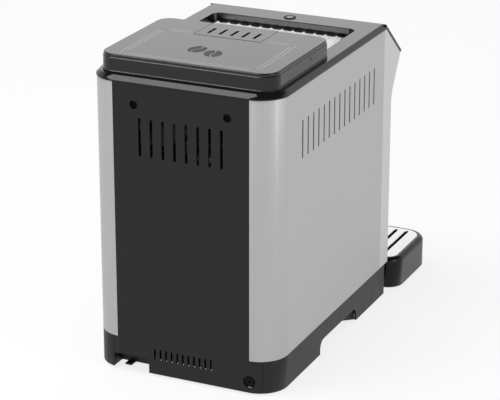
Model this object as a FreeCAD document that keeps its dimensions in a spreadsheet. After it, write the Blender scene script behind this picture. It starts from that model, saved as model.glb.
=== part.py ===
"""Bean-to-cup coffee machine, an assembly of separate parts.

Frame: +Z up, the front faces -Y, and the origin is on the floor at the middle of the overall box.
All lengths are in millimetres. Driving dimensions are in the spreadsheet Sizes; every part is bound to them.
"""

import math
import os
import re

import FreeCAD
import Part
import Sketcher
from FreeCAD import Placement, Rotation, Vector

# ---------------------------------------------------------------- driving dimensions

SIZES = {
    # overall
    "body_width": 220, "body_back": 220, "tray_width": 240, "tray_reach": 220.8,
    "foot_height": 3, "skirt_top": 40, "panel_top": 332, "frame_thick": 6,
    "corner_radius": 32, "crease": 80, "front": 105, "top_front": 82.5, "nose_reach": 133.5,
    "nose_height": 294.5, "frame_lip": 0.8, "frame_bevel": 4.5,
    # common walls and clearances
    "sheet_thick": 1.2, "wall": 2.5, "gap": 0.3, "slide_gap": 0.8, "run_gap": 0.05,
    # base and rear panel
    "floor_height": 20, "seam_half": 79, "wing_half": 93, "rear_thick": 2, "base_front": 95,
    "bay_half": 88, "bay_back": 30, "foot_radius": 9, "foot_inset_x": 30, "foot_inset_back": 36,
    "foot_inset_front": 14, "front_foot_x": 98, "notch_left": 41.3, "notch_right": 84.5, "notch_top": 19.6,
    "notch_round": 3, "alcove_deep": 19.5, "alcove_end": 4.5, "hook_x": 71.5, "hook_wide": 8, "hook_long": 10.5,
    "hook_thick": 2,
    "grip_front": -8, "grip_back": 98, "grip_top": 19, "grip_round": 10,
    # vents and screw holes
    "vent_low": 252.4, "vent_high": 295.2, "side_vent_wide": 3, "side_vent_pitch": 14.43,
    "side_vent_first": 152.7, "rear_vent_wide": 3.2, "rear_vent_pitch": 13.6, "small_vent_wide": 2.2,
    "small_vent_pitch": 6.75, "small_vent_low": 19.7, "small_vent_high": 32.8, "screw_x": 54.3,
    "screw_height": 309, "screw_recess": 4.7, "base_screw_x": 79, "base_screw_height": 15.6,
    "base_screw_recess": 7, "screw_thread": 2,
    # front
    "cheek_thick": 4, "panel_slope_thick": 3, "fascia_back": 4, "nose_root": 249, "cheek_round": 40,
    # top: cup shelf, hopper, lid
    "well_half": 88, "well_front": 49, "well_back": 56, "well_depth": 12.7, "well_round": 9, "well_wall": 1.5,
    "shelf_sheet": 1, "rib_pitch": 13.4, "rib_wide": 12.4, "rib_high": 4, "hopper_half": 90,
    "hopper_front": 64, "hopper_back": 203, "hopper_flange": 3, "hopper_lip": 2, "throat_height": 259,
    "throat_half": 12, "throat_x": -2, "throat_y": 150, "lid_half": 101, "lid_front": 57.5,
    "lid_back": 210, "lid_high": 20, "lid_wall": 2, "lid_corner": 18, "lid_front_corner": 16,
    "lid_round": 1.6, "lid_step": 0.8, "lid_step_deep": 3.4, "lid_foot": 2,
    "door_half": 39.3, "door_back": 107, "door_thick": 2.5, "door_gap": 0.7, "door_pin": 0.9,
    "grip_slot_pitch": 13.5, "grip_slot_long": 21, "grip_slot_wide": 3.4,
    "chute_half": 31, "chute_front": 67, "chute_back": 99,
    "chute_drop": 316, "chute_mouth_half": 11, "chute_end": 196,
    "knob_radius": 15, "knob_high": 10,
    # drip tray
    "tray_front_round": 26, "tray_back_round": 20, "tray_back": 112, "tray_side": 34, "tray_rim": 6,
    "tray_inner_half": 84, "tray_inner_back": 24, "tray_inner_top": 37, "grid_inset": 7, "grid_thick": 1.5,
    "grid_ledge": 3, "drip_slot_wide": 4.5, "drip_slot_inset": 5, "drip_slot_pitch": 13.7, "float_half": 9,
    "float_high": 6, "float_blade": 1.7,
    # grounds container
    "bin_left": -52, "bin_right": 42, "bin_back": 18, "bin_high": 112,
    # water tank
    "bay_wall_x": 44, "tank_high": 234, "tank_back": 150, "tank_wall": 2, "tank_lid_high": 6, "tank_round": 6,
    "tank_valve_radius": 7, "tank_valve_height": 56, "tank_lip": 5,
    # spout and steam wand
    "spout_x": -20, "spout_half": 31, "spout_tall": 48, "spout_reach": 172, "cup_clearance": 7,
    "spout_travel": 54, "stem_half": 8, "stem_high": 24, "nozzle_radius": 5.5, "nozzle_spread": 11,
    "nozzle_long": 9, "slider_thick": 3, "rail_thick": 3,
    "wand_x": -82, "wand_height": 214, "wand_y": 117, "wand_ball": 9, "wand_pivot": 6, "wand_radius": 3.2,
    "wand_foot": 102, "sleeve_radius": 8, "sleeve_long": 60,
    # controls
    "button_y": 62.5, "button_radius": 7, "button_proud": 0.8, "key_wide": 22, "key_high": 15,
    "key_pitch": 30, "key_proud": 0.6,
    # chassis and works
    "deck_thick": 2.5, "works_wall_x": -55, "shelf_edge": 104, "shelf_height": 186, "works_top": 244,
    "motor_radius": 26, "motor_long": 72, "grinder_radius": 38, "burr_bore": 24.5, "burr_ring": 35,
    "burr_low": 203, "burr_high": 248, "rotor_radius": 30, "shaft_radius": 4, "pinion_radius": 8,
    "pinion_high": 5,
    "brew_x": -5, "brew_room": 10.2, "chamber_low": 128, "chamber_high": 176, "chamber_radius": 24,
    "chamber_wall": 4, "rod_radius": 6, "arm_low": 70, "arm_high": 8, "spindle_radius": 5, "frame_half": 35,
    "works_x": -82, "pump_front": 30, "pump_long": 74, "pump_radius": 20, "pump_height": 64,
    "heater_front": -40, "heater_back": 50, "heater_low": 190, "heater_high": 235,
    "meter_y": 160, "meter_radius": 14, "meter_high": 20, "hose_radius": 2.5,
    "board_thick": 1.6, "gland_x": 56, "gland_y": 208.8, "gland_radius": 7.5, "gland_wall": 1.8,
    "gland_flange": 3, "gland_neck": 8, "cord_shift": 14,
}

# Names worked out from the driving dimensions, as expressions.
DERIVED = {
    "side": "body_width / 2",
    "frame_top": "panel_top + frame_thick",
    "inner_side": "side - sheet_thick",
    "deck_top": "skirt_top + gap + deck_thick",
    "slope_long": "sqrt((nose_reach - top_front)^2 + (frame_top - nose_height)^2)",
    "slope_y": "(nose_reach - top_front) / slope_long",
    "slope_z": "(frame_top - nose_height) / slope_long",
    "lid_base": "frame_top + gap",
    "lid_top": "frame_top + lid_high",
    "lid_shoulder": "lid_top - lid_step_deep",
    "button_top": "frame_top + button_proud",
    "fascia_y": "front - fascia_back",
    "cheek_inner": "side - cheek_thick",
    "tray_top": "tray_side + tray_rim",
    "tray_floor": "foot_height + wall",
    "tank_left": "bay_wall_x + wall + slide_gap",
    "tank_right": "cheek_inner - slide_gap",
    "well_floor": "frame_top - well_depth",
    "hinge_y": "door_back - door_thick / 2 - door_gap",
    "hinge_z": "lid_top - door_thick / 2",
    "grinder_base": "shelf_height + deck_thick + gap",
    "cheek_sink": "panel_slope_thick + gap",
    "cheek_start": "(frame_top - cheek_sink * slope_y - panel_top + gap) / slope_z",
    "float_x": "drip_slot_pitch * 6",
    "grid_back": "tray_back + grid_inset",
    "grid_front": "tray_reach - grid_inset",
    "grid_half": "tray_width / 2 - grid_inset",
    "tank_low": "deck_top + slide_gap",
    "spout_face": "fascia_y + gap",
    "slider_front": "fascia_y - wall - gap",
    "slider_back": "slider_front - slider_thick",
    "knob_reach": "burr_ring + pinion_radius + gap",
    "knob_x": "throat_x - knob_reach",
    "alcove_y": "body_back - alcove_deep",
    "spout_low": "bin_high + nozzle_long + cup_clearance",
    "spout_high": "spout_low + spout_tall",
    "brew_y": "bin_back + slide_gap + 2 * wall + chamber_radius + brew_room",
    "piston_radius": "chamber_radius - chamber_wall",
    "spindle_y": "brew_y + chamber_radius + spindle_radius + 1",
    "frame_back": "spindle_y + spindle_radius + 2",
    "stem_low": "(spout_low + spout_high) / 2 - stem_high / 2 + 6",
}

doc = FreeCAD.newDocument("coffee_machine")
sheet = doc.addObject("Spreadsheet::Sheet", "Sizes")
for row, (alias, value) in enumerate(SIZES.items(), start=1):
    sheet.set("A%d" % row, alias)
    sheet.set("B%d" % row, str(value))
    sheet.setAlias("B%d" % row, alias)
doc.recompute()

nodes = []


# ---------------------------------------------------------------- helpers

def expand(text):
    """An expression on the sheet's cells, from one written with the bare names of sizes."""

    def word(match):
        name = match.group(0)
        if name in DERIVED:
            return "(" + expand(DERIVED[name]) + ")"
        return "Sizes." + name if name in SIZES else name

    return re.sub(r"[a-z_][a-z_0-9]*", word, str(text))


def number(text):
    """The value of an expression now."""
    return float(sheet.evalExpression(expand(text)))


def bind(thing, **properties):
    """Binds properties to expressions; two underscores stand for a dot."""
    for name, text in properties.items():
        thing.setExpression(name.replace("__", "."), expand(text))
    return thing


def node(thing):
    """Marks an object as one of the machine's parts."""
    nodes.append(thing)
    return thing


def span(ends):
    return "(%s) - (%s)" % (ends[1], ends[0])


def box(name, x, y, z):
    """A block between two values along each axis."""
    thing = doc.addObject("Part::Box", name)
    bind(thing, Length=span(x), Width=span(y), Height=span(z))
    return bind(thing, Placement__Base__x=x[0], Placement__Base__y=y[0], Placement__Base__z=z[0])


TURNS = {
    "x": Rotation(Vector(0, 0, 1), Vector(1, 0, 0)),
    "y": Rotation(Vector(0, 0, 1), Vector(0, 1, 0)),
    "z": Rotation(),
}


def place_along(thing, axis, centre, start):
    """Turns a round primitive's axis and puts its base circle at start, with centre in the other two axes."""
    thing.Placement = Placement(Vector(), TURNS[axis])
    others = [a for a in "xyz" if a != axis]
    base = {axis: start, others[0]: centre[0], others[1]: centre[1]}
    return bind(thing, **{"Placement__Base__" + a: text for a, text in base.items()})


def cylinder(name, axis, centre, radius, ends):
    thing = doc.addObject("Part::Cylinder", name)
    bind(thing, Radius=radius, Height=span(ends))
    return place_along(thing, axis, centre, ends[0])


def cone(name, axis, centre, radius_start, radius_end, ends):
    thing = doc.addObject("Part::Cone", name)
    bind(thing, Radius1=radius_start, Radius2=radius_end, Height=span(ends))
    return place_along(thing, axis, centre, ends[0])


def ball(name, centre, radius):
    thing = doc.addObject("Part::Sphere", name)
    bind(thing, Radius=radius)
    x, y, z = centre
    return bind(thing, Placement__Base__x=x, Placement__Base__y=y, Placement__Base__z=z)


def fuse(name, *parts):
    thing = doc.addObject("Part::MultiFuse", name)
    thing.Shapes = list(parts)
    thing.Refine = True
    return thing


def cut(name, base, *tools):
    tool = tools[0] if len(tools) == 1 else fuse(name + "_cutters", *tools)
    thing = doc.addObject("Part::Cut", name)
    thing.Base, thing.Tool = base, tool
    thing.Refine = True
    return thing


def common(name, base, tool):
    thing = doc.addObject("Part::Common", name)
    thing.Base, thing.Tool = base, tool
    return thing


def mirrored(name, source):
    """The mirror image across the machine's middle plane."""
    thing = doc.addObject("Part::Mirroring", name)
    thing.Source = source
    thing.Normal = Vector(1, 0, 0)
    return thing


PLANES = {"XY": ("x", "y", "z", 1), "XZ": ("x", "z", "y", -1), "YZ": ("y", "z", "x", 1)}


def sketch_on(body, name, plane, height):
    """A sketch in one of the body's origin planes, moved along the plane's normal axis to height."""
    sketch = body.newObject("Sketcher::SketchObject", name)
    role = plane + "_Plane"
    support = [f for f in body.Origin.OriginFeatures if f.Role == role][0]
    sketch.AttachmentSupport = [(support, "")]
    sketch.MapMode = "FlatFace"
    sign = "-" if PLANES[plane][3] < 0 else ""
    return bind(sketch, AttachmentOffset__Base__z="%s(%s)" % (sign, height))


def fix_point(sketch, geometry, corner, u, v):
    """Ties one point of a sketch's geometry to two expressions."""
    for kind, text in (("DistanceX", u), ("DistanceY", v)):
        place = sketch.addConstraint(Sketcher.Constraint(kind, -1, 1, geometry, corner, number(text)))
        bind(sketch, **{"Constraints[%d]" % place: text})


def polygon(sketch, points):
    """A closed outline of straight edges through points given as pairs of expressions."""
    spots = [Vector(number(u), number(v), 0) for u, v in points]
    count = len(points)
    for i in range(count):
        sketch.addGeometry(Part.LineSegment(spots[i], spots[(i + 1) % count]), False)
    for i in range(count):
        sketch.addConstraint(Sketcher.Constraint("Coincident", i, 2, (i + 1) % count, 1))
    for i, (u, v) in enumerate(points):
        fix_point(sketch, i, 1, u, v)


def edges_at(shape, plane, point):
    """Names of the edges that run along the plane's normal through a point of the plane."""
    a, b, along, _ = PLANES[plane]
    found = []
    for i, edge in enumerate(shape.Edges, start=1):
        ends = [v.Point for v in edge.Vertexes]
        if len(ends) == 2 and abs(getattr(ends[0], along) - getattr(ends[1], along)) > 0.1:
            if all(abs(getattr(p, a) - point[0]) + abs(getattr(p, b) - point[1]) < 0.01 for p in ends):
                found.append("Edge%d" % i)
    return found


def edges_level(shape, axis, value):
    """Names of the edges that lie in the plane where axis has that value."""
    found = []
    for i, edge in enumerate(shape.Edges, start=1):
        box_ = edge.BoundBox
        low, high = getattr(box_, axis.upper() + "Min"), getattr(box_, axis.upper() + "Max")
        if abs(low - value) < 0.01 and abs(high - value) < 0.01:
            found.append("Edge%d" % i)
    return found


def dress(body, kind, edges, size):
    """Rounds or bevels edges of a body; kind is Fillet or Chamfer."""
    before = body.Tip
    feature = body.newObject("PartDesign::" + kind, body.Name + "_" + kind.lower())
    feature.Base = (before, edges)
    bind(feature, **{"Radius" if kind == "Fillet" else "Size": size})
    body.Tip = feature
    doc.recompute()
    return feature


def prism(name, plane, points, ends, rounds=None, rim=None):
    """An outline padded between two values along the plane's normal. rounds maps a corner's index to the radius
    of its edge; rim is (kind, value, size) for every edge at that end, kind being Fillet or Chamfer."""
    body = doc.addObject("PartDesign::Body", name)
    low, high = ends
    start = high if PLANES[plane][3] < 0 else low
    sketch = sketch_on(body, name + "_outline", plane, start)
    polygon(sketch, points)
    pad = body.newObject("PartDesign::Pad", name + "_pad")
    pad.Profile = sketch
    bind(pad, Length=span(ends))
    doc.recompute()
    for radius in sorted(set((rounds or {}).values())):
        picked = []
        for corner, r in rounds.items():
            if r == radius:
                u, v = points[corner]
                picked += edges_at(body.Tip.Shape, plane, (number(u), number(v)))
        dress(body, "Fillet", picked, radius)
    if rim:
        kind, value, size = rim
        dress(body, kind, edges_level(body.Tip.Shape, PLANES[plane][2], number(value)), size)
    return body


def rectangle(x, y):
    return [(x[0], y[0]), (x[1], y[0]), (x[1], y[1]), (x[0], y[1])]


def rounded_block(name, x, y, z, front, back, rim=None):
    """A block whose upright edges have radius front at its -Y end and back at its +Y end."""
    return prism(name, "XY", rectangle(x, y), z, {0: front, 1: front, 2: back, 3: back}, rim)


def pocket_through(body, sketch):
    """Cuts a sketch through everything, both ways."""
    feature = body.newObject("PartDesign::Pocket", sketch.Name + "_cut")
    feature.Profile = sketch
    feature.Type = 1
    feature.Midplane = True
    body.Tip = feature
    before = feature.BaseFeature.Shape.Volume
    doc.recompute()
    if feature.Shape.Volume > before - 0.1:
        raise RuntimeError(sketch.Name + " cuts nothing")
    return feature


def upright_slot(body, name, plane, u, low, high, wide):
    """A slot with round ends, cut through a body, upright in the plane."""
    sketch = sketch_on(body, name, plane, "0")
    half = number(wide) / 2
    x, bottom, top = number(u), number(low) + half, number(high) - half
    left, right = Vector(x - half, 0, 0), Vector(x + half, 0, 0)
    up, down = Vector(0, top, 0), Vector(0, bottom, 0)
    normal = Vector(0, 0, 1)
    sketch.addGeometry(Part.LineSegment(left + up, left + down), False)
    sketch.addGeometry(Part.ArcOfCircle(Part.Circle(Vector(x, bottom, 0), normal, half), math.pi, 2 * math.pi),
                       False)
    sketch.addGeometry(Part.LineSegment(right + down, right + up), False)
    sketch.addGeometry(Part.ArcOfCircle(Part.Circle(Vector(x, top, 0), normal, half), 0, math.pi), False)
    for i in range(4):
        sketch.addConstraint(Sketcher.Constraint("Coincident", i, 2, (i + 1) % 4, 1))
    low_level, high_level = "(%s) + (%s) / 2" % (low, wide), "(%s) - (%s) / 2" % (high, wide)
    left_edge, right_edge = "(%s) - (%s) / 2" % (u, wide), "(%s) + (%s) / 2" % (u, wide)
    fix_point(sketch, 0, 1, left_edge, high_level)
    fix_point(sketch, 0, 2, left_edge, low_level)
    fix_point(sketch, 2, 1, right_edge, low_level)
    fix_point(sketch, 2, 2, right_edge, high_level)
    for arc, level in ((1, low_level), (3, high_level)):
        place = sketch.addConstraint(Sketcher.Constraint("DistanceY", -1, 1, arc, 3, number(level)))
        bind(sketch, **{"Constraints[%d]" % place: level})
    return pocket_through(body, sketch)


def repeat(body, feature, axis, pitch, count):
    """Repeats a feature along one of the body's axes; a negative pitch runs backwards."""
    pattern = body.newObject("PartDesign::LinearPattern", feature.Name + "_row")
    pattern.Originals = [feature]
    role = axis + "_Axis"
    pattern.Direction = ([f for f in body.Origin.OriginFeatures if f.Role == role][0], [""])
    pattern.Reversed = pitch.startswith("-")
    pattern.Occurrences = count
    bind(pattern, Length="%s * %d" % (pitch.lstrip("-"), count - 1))
    body.Tip = pattern
    doc.recompute()
    return pattern


def round_hole(body, name, plane, centre, radius):
    sketch = sketch_on(body, name, plane, "0")
    middle = Vector(number(centre[0]), number(centre[1]), 0)
    sketch.addGeometry(Part.Circle(middle, Vector(0, 0, 1), number(radius)), False)
    fix_point(sketch, 0, 3, *centre)
    place = sketch.addConstraint(Sketcher.Constraint("Radius", 0, number(radius)))
    bind(sketch, **{"Constraints[%d]" % place: radius})
    return pocket_through(body, sketch)


def loft(name, low_outline, low, high_outline, high):
    """A solid between two level outlines with the same number of corners."""
    body = doc.addObject("PartDesign::Body", name)
    first = sketch_on(body, name + "_low", "XY", low)
    polygon(first, low_outline)
    second = sketch_on(body, name + "_high", "XY", high)
    polygon(second, high_outline)
    feature = body.newObject("PartDesign::AdditiveLoft", name + "_loft")
    feature.Profile = first
    feature.Sections = [second]
    feature.Ruled = True
    doc.recompute()
    return body


def slope_point(along, above):
    """A point of the control slope in the YZ plane: along it from its top edge, and above its surface."""
    y = "-(top_front + (%s) * slope_y + (%s) * slope_z)" % (along, above)
    z = "frame_top - (%s) * slope_z + (%s) * slope_y" % (along, above)
    return y, z


# ---------------------------------------------------------------- base

def base_block(name, inset, z, y_front):
    """A level block of the body's plan, shrunk by inset, from y_front to the back."""
    x = "side - (%s)" % inset
    outline = rectangle(("-(%s)" % x, x), (y_front, "body_back - (%s)" % inset))
    return prism(name, "XY", outline, z, {2: "corner_radius - (%s)" % inset, 3: "corner_radius - (%s)" % inset})


front_of_base = "-base_front"
above_base = "skirt_top + 1"
under_base = "foot_height - 1"
base_block_whole = base_block("base_block", "0", ("foot_height", "skirt_top"), front_of_base)
tray_bay = box("tray_bay", ("-bay_half", "bay_half"), ("-base_front - 1", "bay_back"), (under_base, above_base))
base_rooms = []
for level, low, high in (("upper", "floor_height + wall", above_base), ("lower", under_base, "floor_height")):
    base_rooms.append(base_block("base_room_" + level, "wall", (low, high), "bay_back + wall"))
    for hand, x in (("left", ("-(side - wall)", "-(bay_half + wall)")),
                    ("right", ("bay_half + wall", "side - wall"))):
        base_rooms.append(box("base_room_%s_%s" % (level, hand), x,
                              ("-(base_front - wall)", "bay_back + wall + 1"),
                              (low, high)))
rear_inset = "wall + gap"
rear_ring = cut("rear_opening_ring",
                base_block("rear_ring_outer", "-1", (under_base, above_base), "body_back / 2"),
                base_block("rear_ring_inner", rear_inset, (under_base, above_base), "body_back / 2"))
rear_opening = common("rear_opening", rear_ring,
                      box("rear_opening_box", ("-(wing_half + gap)", "wing_half + gap"),
                          ("body_back - corner_radius", "body_back + 2"), (under_base, above_base)))
grip_notch = prism("grip_notch", "YZ",
                   rectangle(("grip_front", "grip_back"), ("foot_height - grip_round", "grip_top")),
                   ("-side - 1", "side + 1"), {2: "grip_round", 3: "grip_round"})
grip_keep = box("grip_keep", ("-(side - wall - gap)", "side - wall - gap"), ("grip_front - 1", "grip_back + 1"),
                ("foot_height - grip_round - 1", "grip_top + 1"))
grip_cut = cut("grip_cut", grip_notch, grip_keep)
bosses = []
foot_spots = []
for hand in ("-", ""):
    foot_spots.append((hand + "front_foot_x", "-(base_front - foot_inset_front)"))
    foot_spots.append((hand + "(side - foot_inset_x)", "body_back - foot_inset_back"))
for i, spot in enumerate(foot_spots):
    bosses.append(cylinder("foot_boss_%d" % i, "z", spot, "foot_radius + 1",
                           ("foot_height", "floor_height + 1")))
screw_pad = box("base_screw_pad",
                ("-base_screw_x - base_screw_recess - 1", "-base_screw_x + base_screw_recess + 1"),
                ("body_back - foot_inset_back", "body_back - wall - gap"),
                ("base_screw_height - base_screw_recess", "floor_height + 1"))
bosses.append(cut("base_screw_block", screw_pad,
                  cylinder("base_screw_bore", "y", ("-base_screw_x", "base_screw_height"),
                           "screw_thread + run_gap", ("body_back - foot_inset_back - 1", "body_back"))))
gland_hole = cylinder("gland_hole", "z", ("gland_x", "gland_y"), "gland_radius - gland_wall",
                      (under_base, above_base))
base_shell = cut("base_shell", base_block_whole, tray_bay, *base_rooms)
node(cut("base_tub", fuse("base_with_bosses", base_shell, *bosses), rear_opening, grip_cut, gland_hole))

feet = []
for i, spot in enumerate(foot_spots):
    feet.append(cylinder("foot_disc_%d" % i, "z", spot, "foot_radius", ("0", "foot_height")))
node(fuse("rubber_feet", *feet))

bay_z = ("foot_height", "floor_height")
bay_parts = [box("bay_back_wall", ("notch_left - wall", "notch_right + wall"),
                 ("alcove_y - wall", "alcove_y"), bay_z),
             box("cord_hook", ("hook_x - hook_wide / 2", "hook_x + hook_wide / 2"),
                 ("alcove_y - 1", "alcove_y + hook_long"), ("foot_height", "foot_height + hook_thick"))]
for i, x in enumerate((("notch_left - wall", "notch_left"), ("notch_right", "notch_right + wall"))):
    bay_parts.append(box("bay_side_wall_%d" % i, x, ("alcove_y - 1", "body_back - alcove_end"), bay_z))
node(fuse("cable_bay", *bay_parts))
gland_spot = ("gland_x", "gland_y")
gland_solid = fuse("gland_solid",
                   cylinder("gland_flange", "z", gland_spot, "gland_radius",
                            ("floor_height - gland_flange", "floor_height")),
                   cylinder("gland_neck", "z", gland_spot, "gland_radius - gland_wall - run_gap",
                            ("floor_height", "floor_height + gland_neck")))
node(cut("cord_gland", gland_solid,
         cylinder("gland_bore", "z", gland_spot, "gland_radius - 2 * gland_wall",
                  ("floor_height - gland_flange - 1", "floor_height + gland_neck + 1"))))

# ---------------------------------------------------------------- rear panel and its screws

plate_half = "seam_half - gap / 2"
rear_plate = prism("rear_plate", "XZ",
                   rectangle(("-(%s)" % plate_half, plate_half), ("foot_height", "panel_top - gap")),
                   ("body_back - rear_thick", "body_back"))
first = upright_slot(rear_plate, "rear_vent", "XZ", "-rear_vent_pitch * 3.5", "vent_low", "vent_high",
                     "rear_vent_wide")
repeat(rear_plate, first, "X", "rear_vent_pitch", 8)
first = upright_slot(rear_plate, "small_vent", "XZ", "-small_vent_pitch * 5", "small_vent_low",
                     "small_vent_high",
                     "small_vent_wide")
repeat(rear_plate, first, "X", "small_vent_pitch", 11)
for i, x in enumerate(("-screw_x", "screw_x")):
    round_hole(rear_plate, "screw_hole_%d" % i, "XZ", (x, "screw_height"), "screw_recess")
wing_ring = cut("wing_ring", base_block("wing_outer", "0", ("foot_height", "skirt_top"), "body_back / 2"),
                base_block("wing_inner", "rear_thick", ("foot_height - 1", "skirt_top + 1"), "body_back / 2"))
wing_left = common("wing_left", wing_ring, box("wing_box", ("-wing_half", "-(seam_half - 10)"),
                                               ("body_back - corner_radius", "body_back + 1"),
                                               ("foot_height", "skirt_top")))
cups = []
for i, x in enumerate(("-screw_x", "screw_x")):
    spot = (x, "screw_height")
    cup = cylinder("screw_cup_%d" % i, "y", spot, "screw_recess + 1.5",
                   ("body_back - 7.5", "body_back - rear_thick"))
    cups.append(cut("screw_cup_open_%d" % i, cup,
                    cylinder("screw_cup_room_%d" % i, "y", spot, "screw_recess",
                             ("body_back - 6", "body_back")),
                    cylinder("screw_cup_bore_%d" % i, "y", spot, "screw_thread + run_gap",
                             ("body_back - 9", "body_back"))))
rear_whole = fuse("rear_whole", rear_plate, wing_left, mirrored("wing_right", wing_left), *cups)
cable_notch = prism("cable_notch", "XZ",
                    rectangle(("notch_left", "notch_right"), ("foot_height - 1 - notch_round", "notch_top")),
                    ("body_back - corner_radius", "body_back + 1"), {2: "notch_round", 3: "notch_round"})
base_screw_hole = cylinder("base_screw_hole", "y", ("-base_screw_x", "base_screw_height"), "base_screw_recess",
                           ("body_back - corner_radius", "body_back + 1"))
node(cut("rear_panel", rear_whole, cable_notch, base_screw_hole))


def cross_screw(name, spot, radius, seat, head, long):
    """A pan-head screw along -Y with a cross recess; its head starts at seat."""
    solid = fuse(name + "_solid",
                 cylinder(name + "_head", "y", spot, radius, (seat, "%s + %s" % (seat, head))),
                 cylinder(name + "_thread", "y", spot, "screw_thread", ("%s - %s" % (seat, long), seat)))
    x, z = spot
    deep = ("%s + %s - 1.2" % (seat, head), "%s + %s + 1" % (seat, head))
    return cut(name, solid,
               box(name + "_bar", ("%s - 2" % x, "%s + 2" % x), deep, ("%s - 0.45" % z, "%s + 0.45" % z)),
               box(name + "_post", ("%s - 0.45" % x, "%s + 0.45" % x), deep, ("%s - 2" % z, "%s + 2" % z)))


rear_pair = []
for i, x in enumerate(("-screw_x", "screw_x")):
    rear_pair.append(cross_screw("rear_screw_%d" % i, (x, "screw_height"), "screw_recess - gap",
                                 "body_back - 6",
                                 "2.6", "9"))
node(fuse("rear_screws", *rear_pair))
node(cross_screw("base_screw", ("-base_screw_x", "base_screw_height"), "base_screw_recess - 1.5",
                 "body_back - wall - gap", "2", "10"))

# ---------------------------------------------------------------- side panels and cheeks

panel_span = ("skirt_top + gap", "panel_top - gap")
panel_front = "-(crease - gap / 2)"
panel_block = prism("panel_block", "XY", rectangle(("-side", "side"), (panel_front, "body_back")), panel_span,
                    {2: "corner_radius", 3: "corner_radius"})
first = upright_slot(panel_block, "side_vent", "YZ", "side_vent_first", "vent_low", "vent_high",
                     "side_vent_wide")
repeat(panel_block, first, "Y", "-side_vent_pitch", 15)
panel_inside = prism("panel_inside", "XY",
                     rectangle(("-inner_side", "inner_side"), ("-crease - 1", "body_back - sheet_thick")),
                     ("skirt_top", "panel_top"),
                     {2: "corner_radius - sheet_thick", 3: "corner_radius - sheet_thick"})
panel_shell = cut("panel_shell", panel_block, panel_inside)
panel_left = common("side_panel_left", panel_shell,
                    box("panel_left_box", ("-side - 1", "-(seam_half + gap / 2)"),
                        (panel_front, "body_back + 1"),
                        panel_span))
node(panel_left)
node(mirrored("side_panel_right", panel_left))

cheek_outline = [("-(crease + gap / 2)", "skirt_top + gap"), ("-(crease + gap / 2)", "panel_top - gap"),
                 slope_point("cheek_start", "-cheek_sink"), slope_point("slope_long", "-cheek_sink"),
                 ("-front", "nose_root"), ("-front", "skirt_top + gap")]
cheek = prism("cheek_left", "YZ", cheek_outline, ("-side", "-cheek_inner"),
              {3: "cheek_thick", 4: "cheek_round"})
node(cheek)
node(mirrored("cheek_right", cheek))

# ---------------------------------------------------------------- top frame, cup shelf, power button

lip = "side + frame_lip"
slab_start = "-(top_front + 2 * frame_bevel)"
frame_round = "corner_radius + frame_lip"
frame_slab_long = prism("frame_slab_long", "XY",
                        rectangle(("-(%s)" % lip, lip), (slab_start, "body_back + frame_lip")),
                        ("panel_top", "frame_top"), {2: frame_round, 3: frame_round},
                        ("Chamfer", "frame_top", "frame_bevel"))
frame_slab = cut("frame_slab", frame_slab_long,
                 box("frame_slab_end", ("-side - frame_bevel", "side + frame_bevel"),
                     ("%s - 1" % slab_start, "-top_front"), ("panel_top - 1", "frame_top + 1")))
well_outer = rounded_block("well_outer", ("-(well_half + well_wall)", "well_half + well_wall"),
                           ("-(well_front + well_wall)", "well_back + well_wall"),
                           ("well_floor - gap - well_wall", "panel_top + 1"), "well_round + well_wall",
                           "well_round + well_wall")
well_room = rounded_block("well_room", ("-well_half", "well_half"), ("-well_front", "well_back"),
                          ("well_floor - gap", "frame_top + 1"), "well_round", "well_round")
hopper_hole = rounded_block("hopper_hole", ("-hopper_half", "hopper_half"), ("hopper_front", "hopper_back"),
                            ("panel_top - 1", "frame_top + 1"), "lid_wall / 2", "lid_wall / 2")
button_spot = ("0", "-button_y")
button_tube = cylinder("button_tube", "z", button_spot, "button_radius + gap + well_wall",
                       ("frame_top - 15", "frame_top"))
button_room = cylinder("button_room", "z", button_spot, "button_radius + gap",
                       ("frame_top - 13.5", "frame_top + 1"))
node(cut("top_frame", fuse("frame_whole", frame_slab, well_outer, button_tube), well_room, hopper_hole,
         button_room))

ring_groove = cut("button_groove", cylinder("groove_outer", "z", button_spot, "button_radius - 1.2",
                                            ("button_top - 0.5", "button_top + 1")),
                  cylinder("groove_inner", "z", button_spot, "button_radius - 2",
                           ("button_top - 1", "button_top + 2")))
node(cut("power_button",
         cylinder("button_body", "z", button_spot, "button_radius",
                  ("frame_top - 11.7", "button_top")),
         ring_groove))

shelf = rounded_block("cup_shelf", ("-(well_half - gap)", "well_half - gap"),
                      ("-(well_front - gap)", "well_back - gap"),
                      ("well_floor", "well_floor + shelf_sheet"), "well_round - gap", "well_round - gap")
rib = sketch_on(shelf, "rib_outline", "XZ", "well_back - 8")
first_rib = "-rib_pitch * 6"
polygon(rib, [("%s - rib_wide / 2" % first_rib, "well_floor + shelf_sheet"),
              ("%s + rib_wide / 2" % first_rib, "well_floor + shelf_sheet"),
              (first_rib, "well_floor + shelf_sheet + rib_high")])
rib_pad = shelf.newObject("PartDesign::Pad", "rib_pad")
rib_pad.Profile = rib
bind(rib_pad, Length="well_front + well_back - 16")
shelf.Tip = rib_pad
doc.recompute()
repeat(shelf, rib_pad, "X", "rib_pitch", 13)
node(shelf)

# ---------------------------------------------------------------- bean hopper, lid and its door, grind knob

def shrunk(x, y, by):
    return rectangle(("%s + %s" % (x[0], by), "%s - %s" % (x[1], by)),
                     ("%s + %s" % (y[0], by), "%s - %s" % (y[1], by)))


def shrunk_hopper(name, by, low, high):
    """The funnel between the deck and the throat, shrunk by a wall."""
    throat = shrunk(("throat_x - throat_half", "throat_x + throat_half"),
                    ("throat_y - throat_half", "throat_y + throat_half"), by)
    rim = shrunk(("-hopper_half", "hopper_half"), ("hopper_front", "hopper_back"), by)
    return loft(name, throat, low, rim, high)


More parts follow.
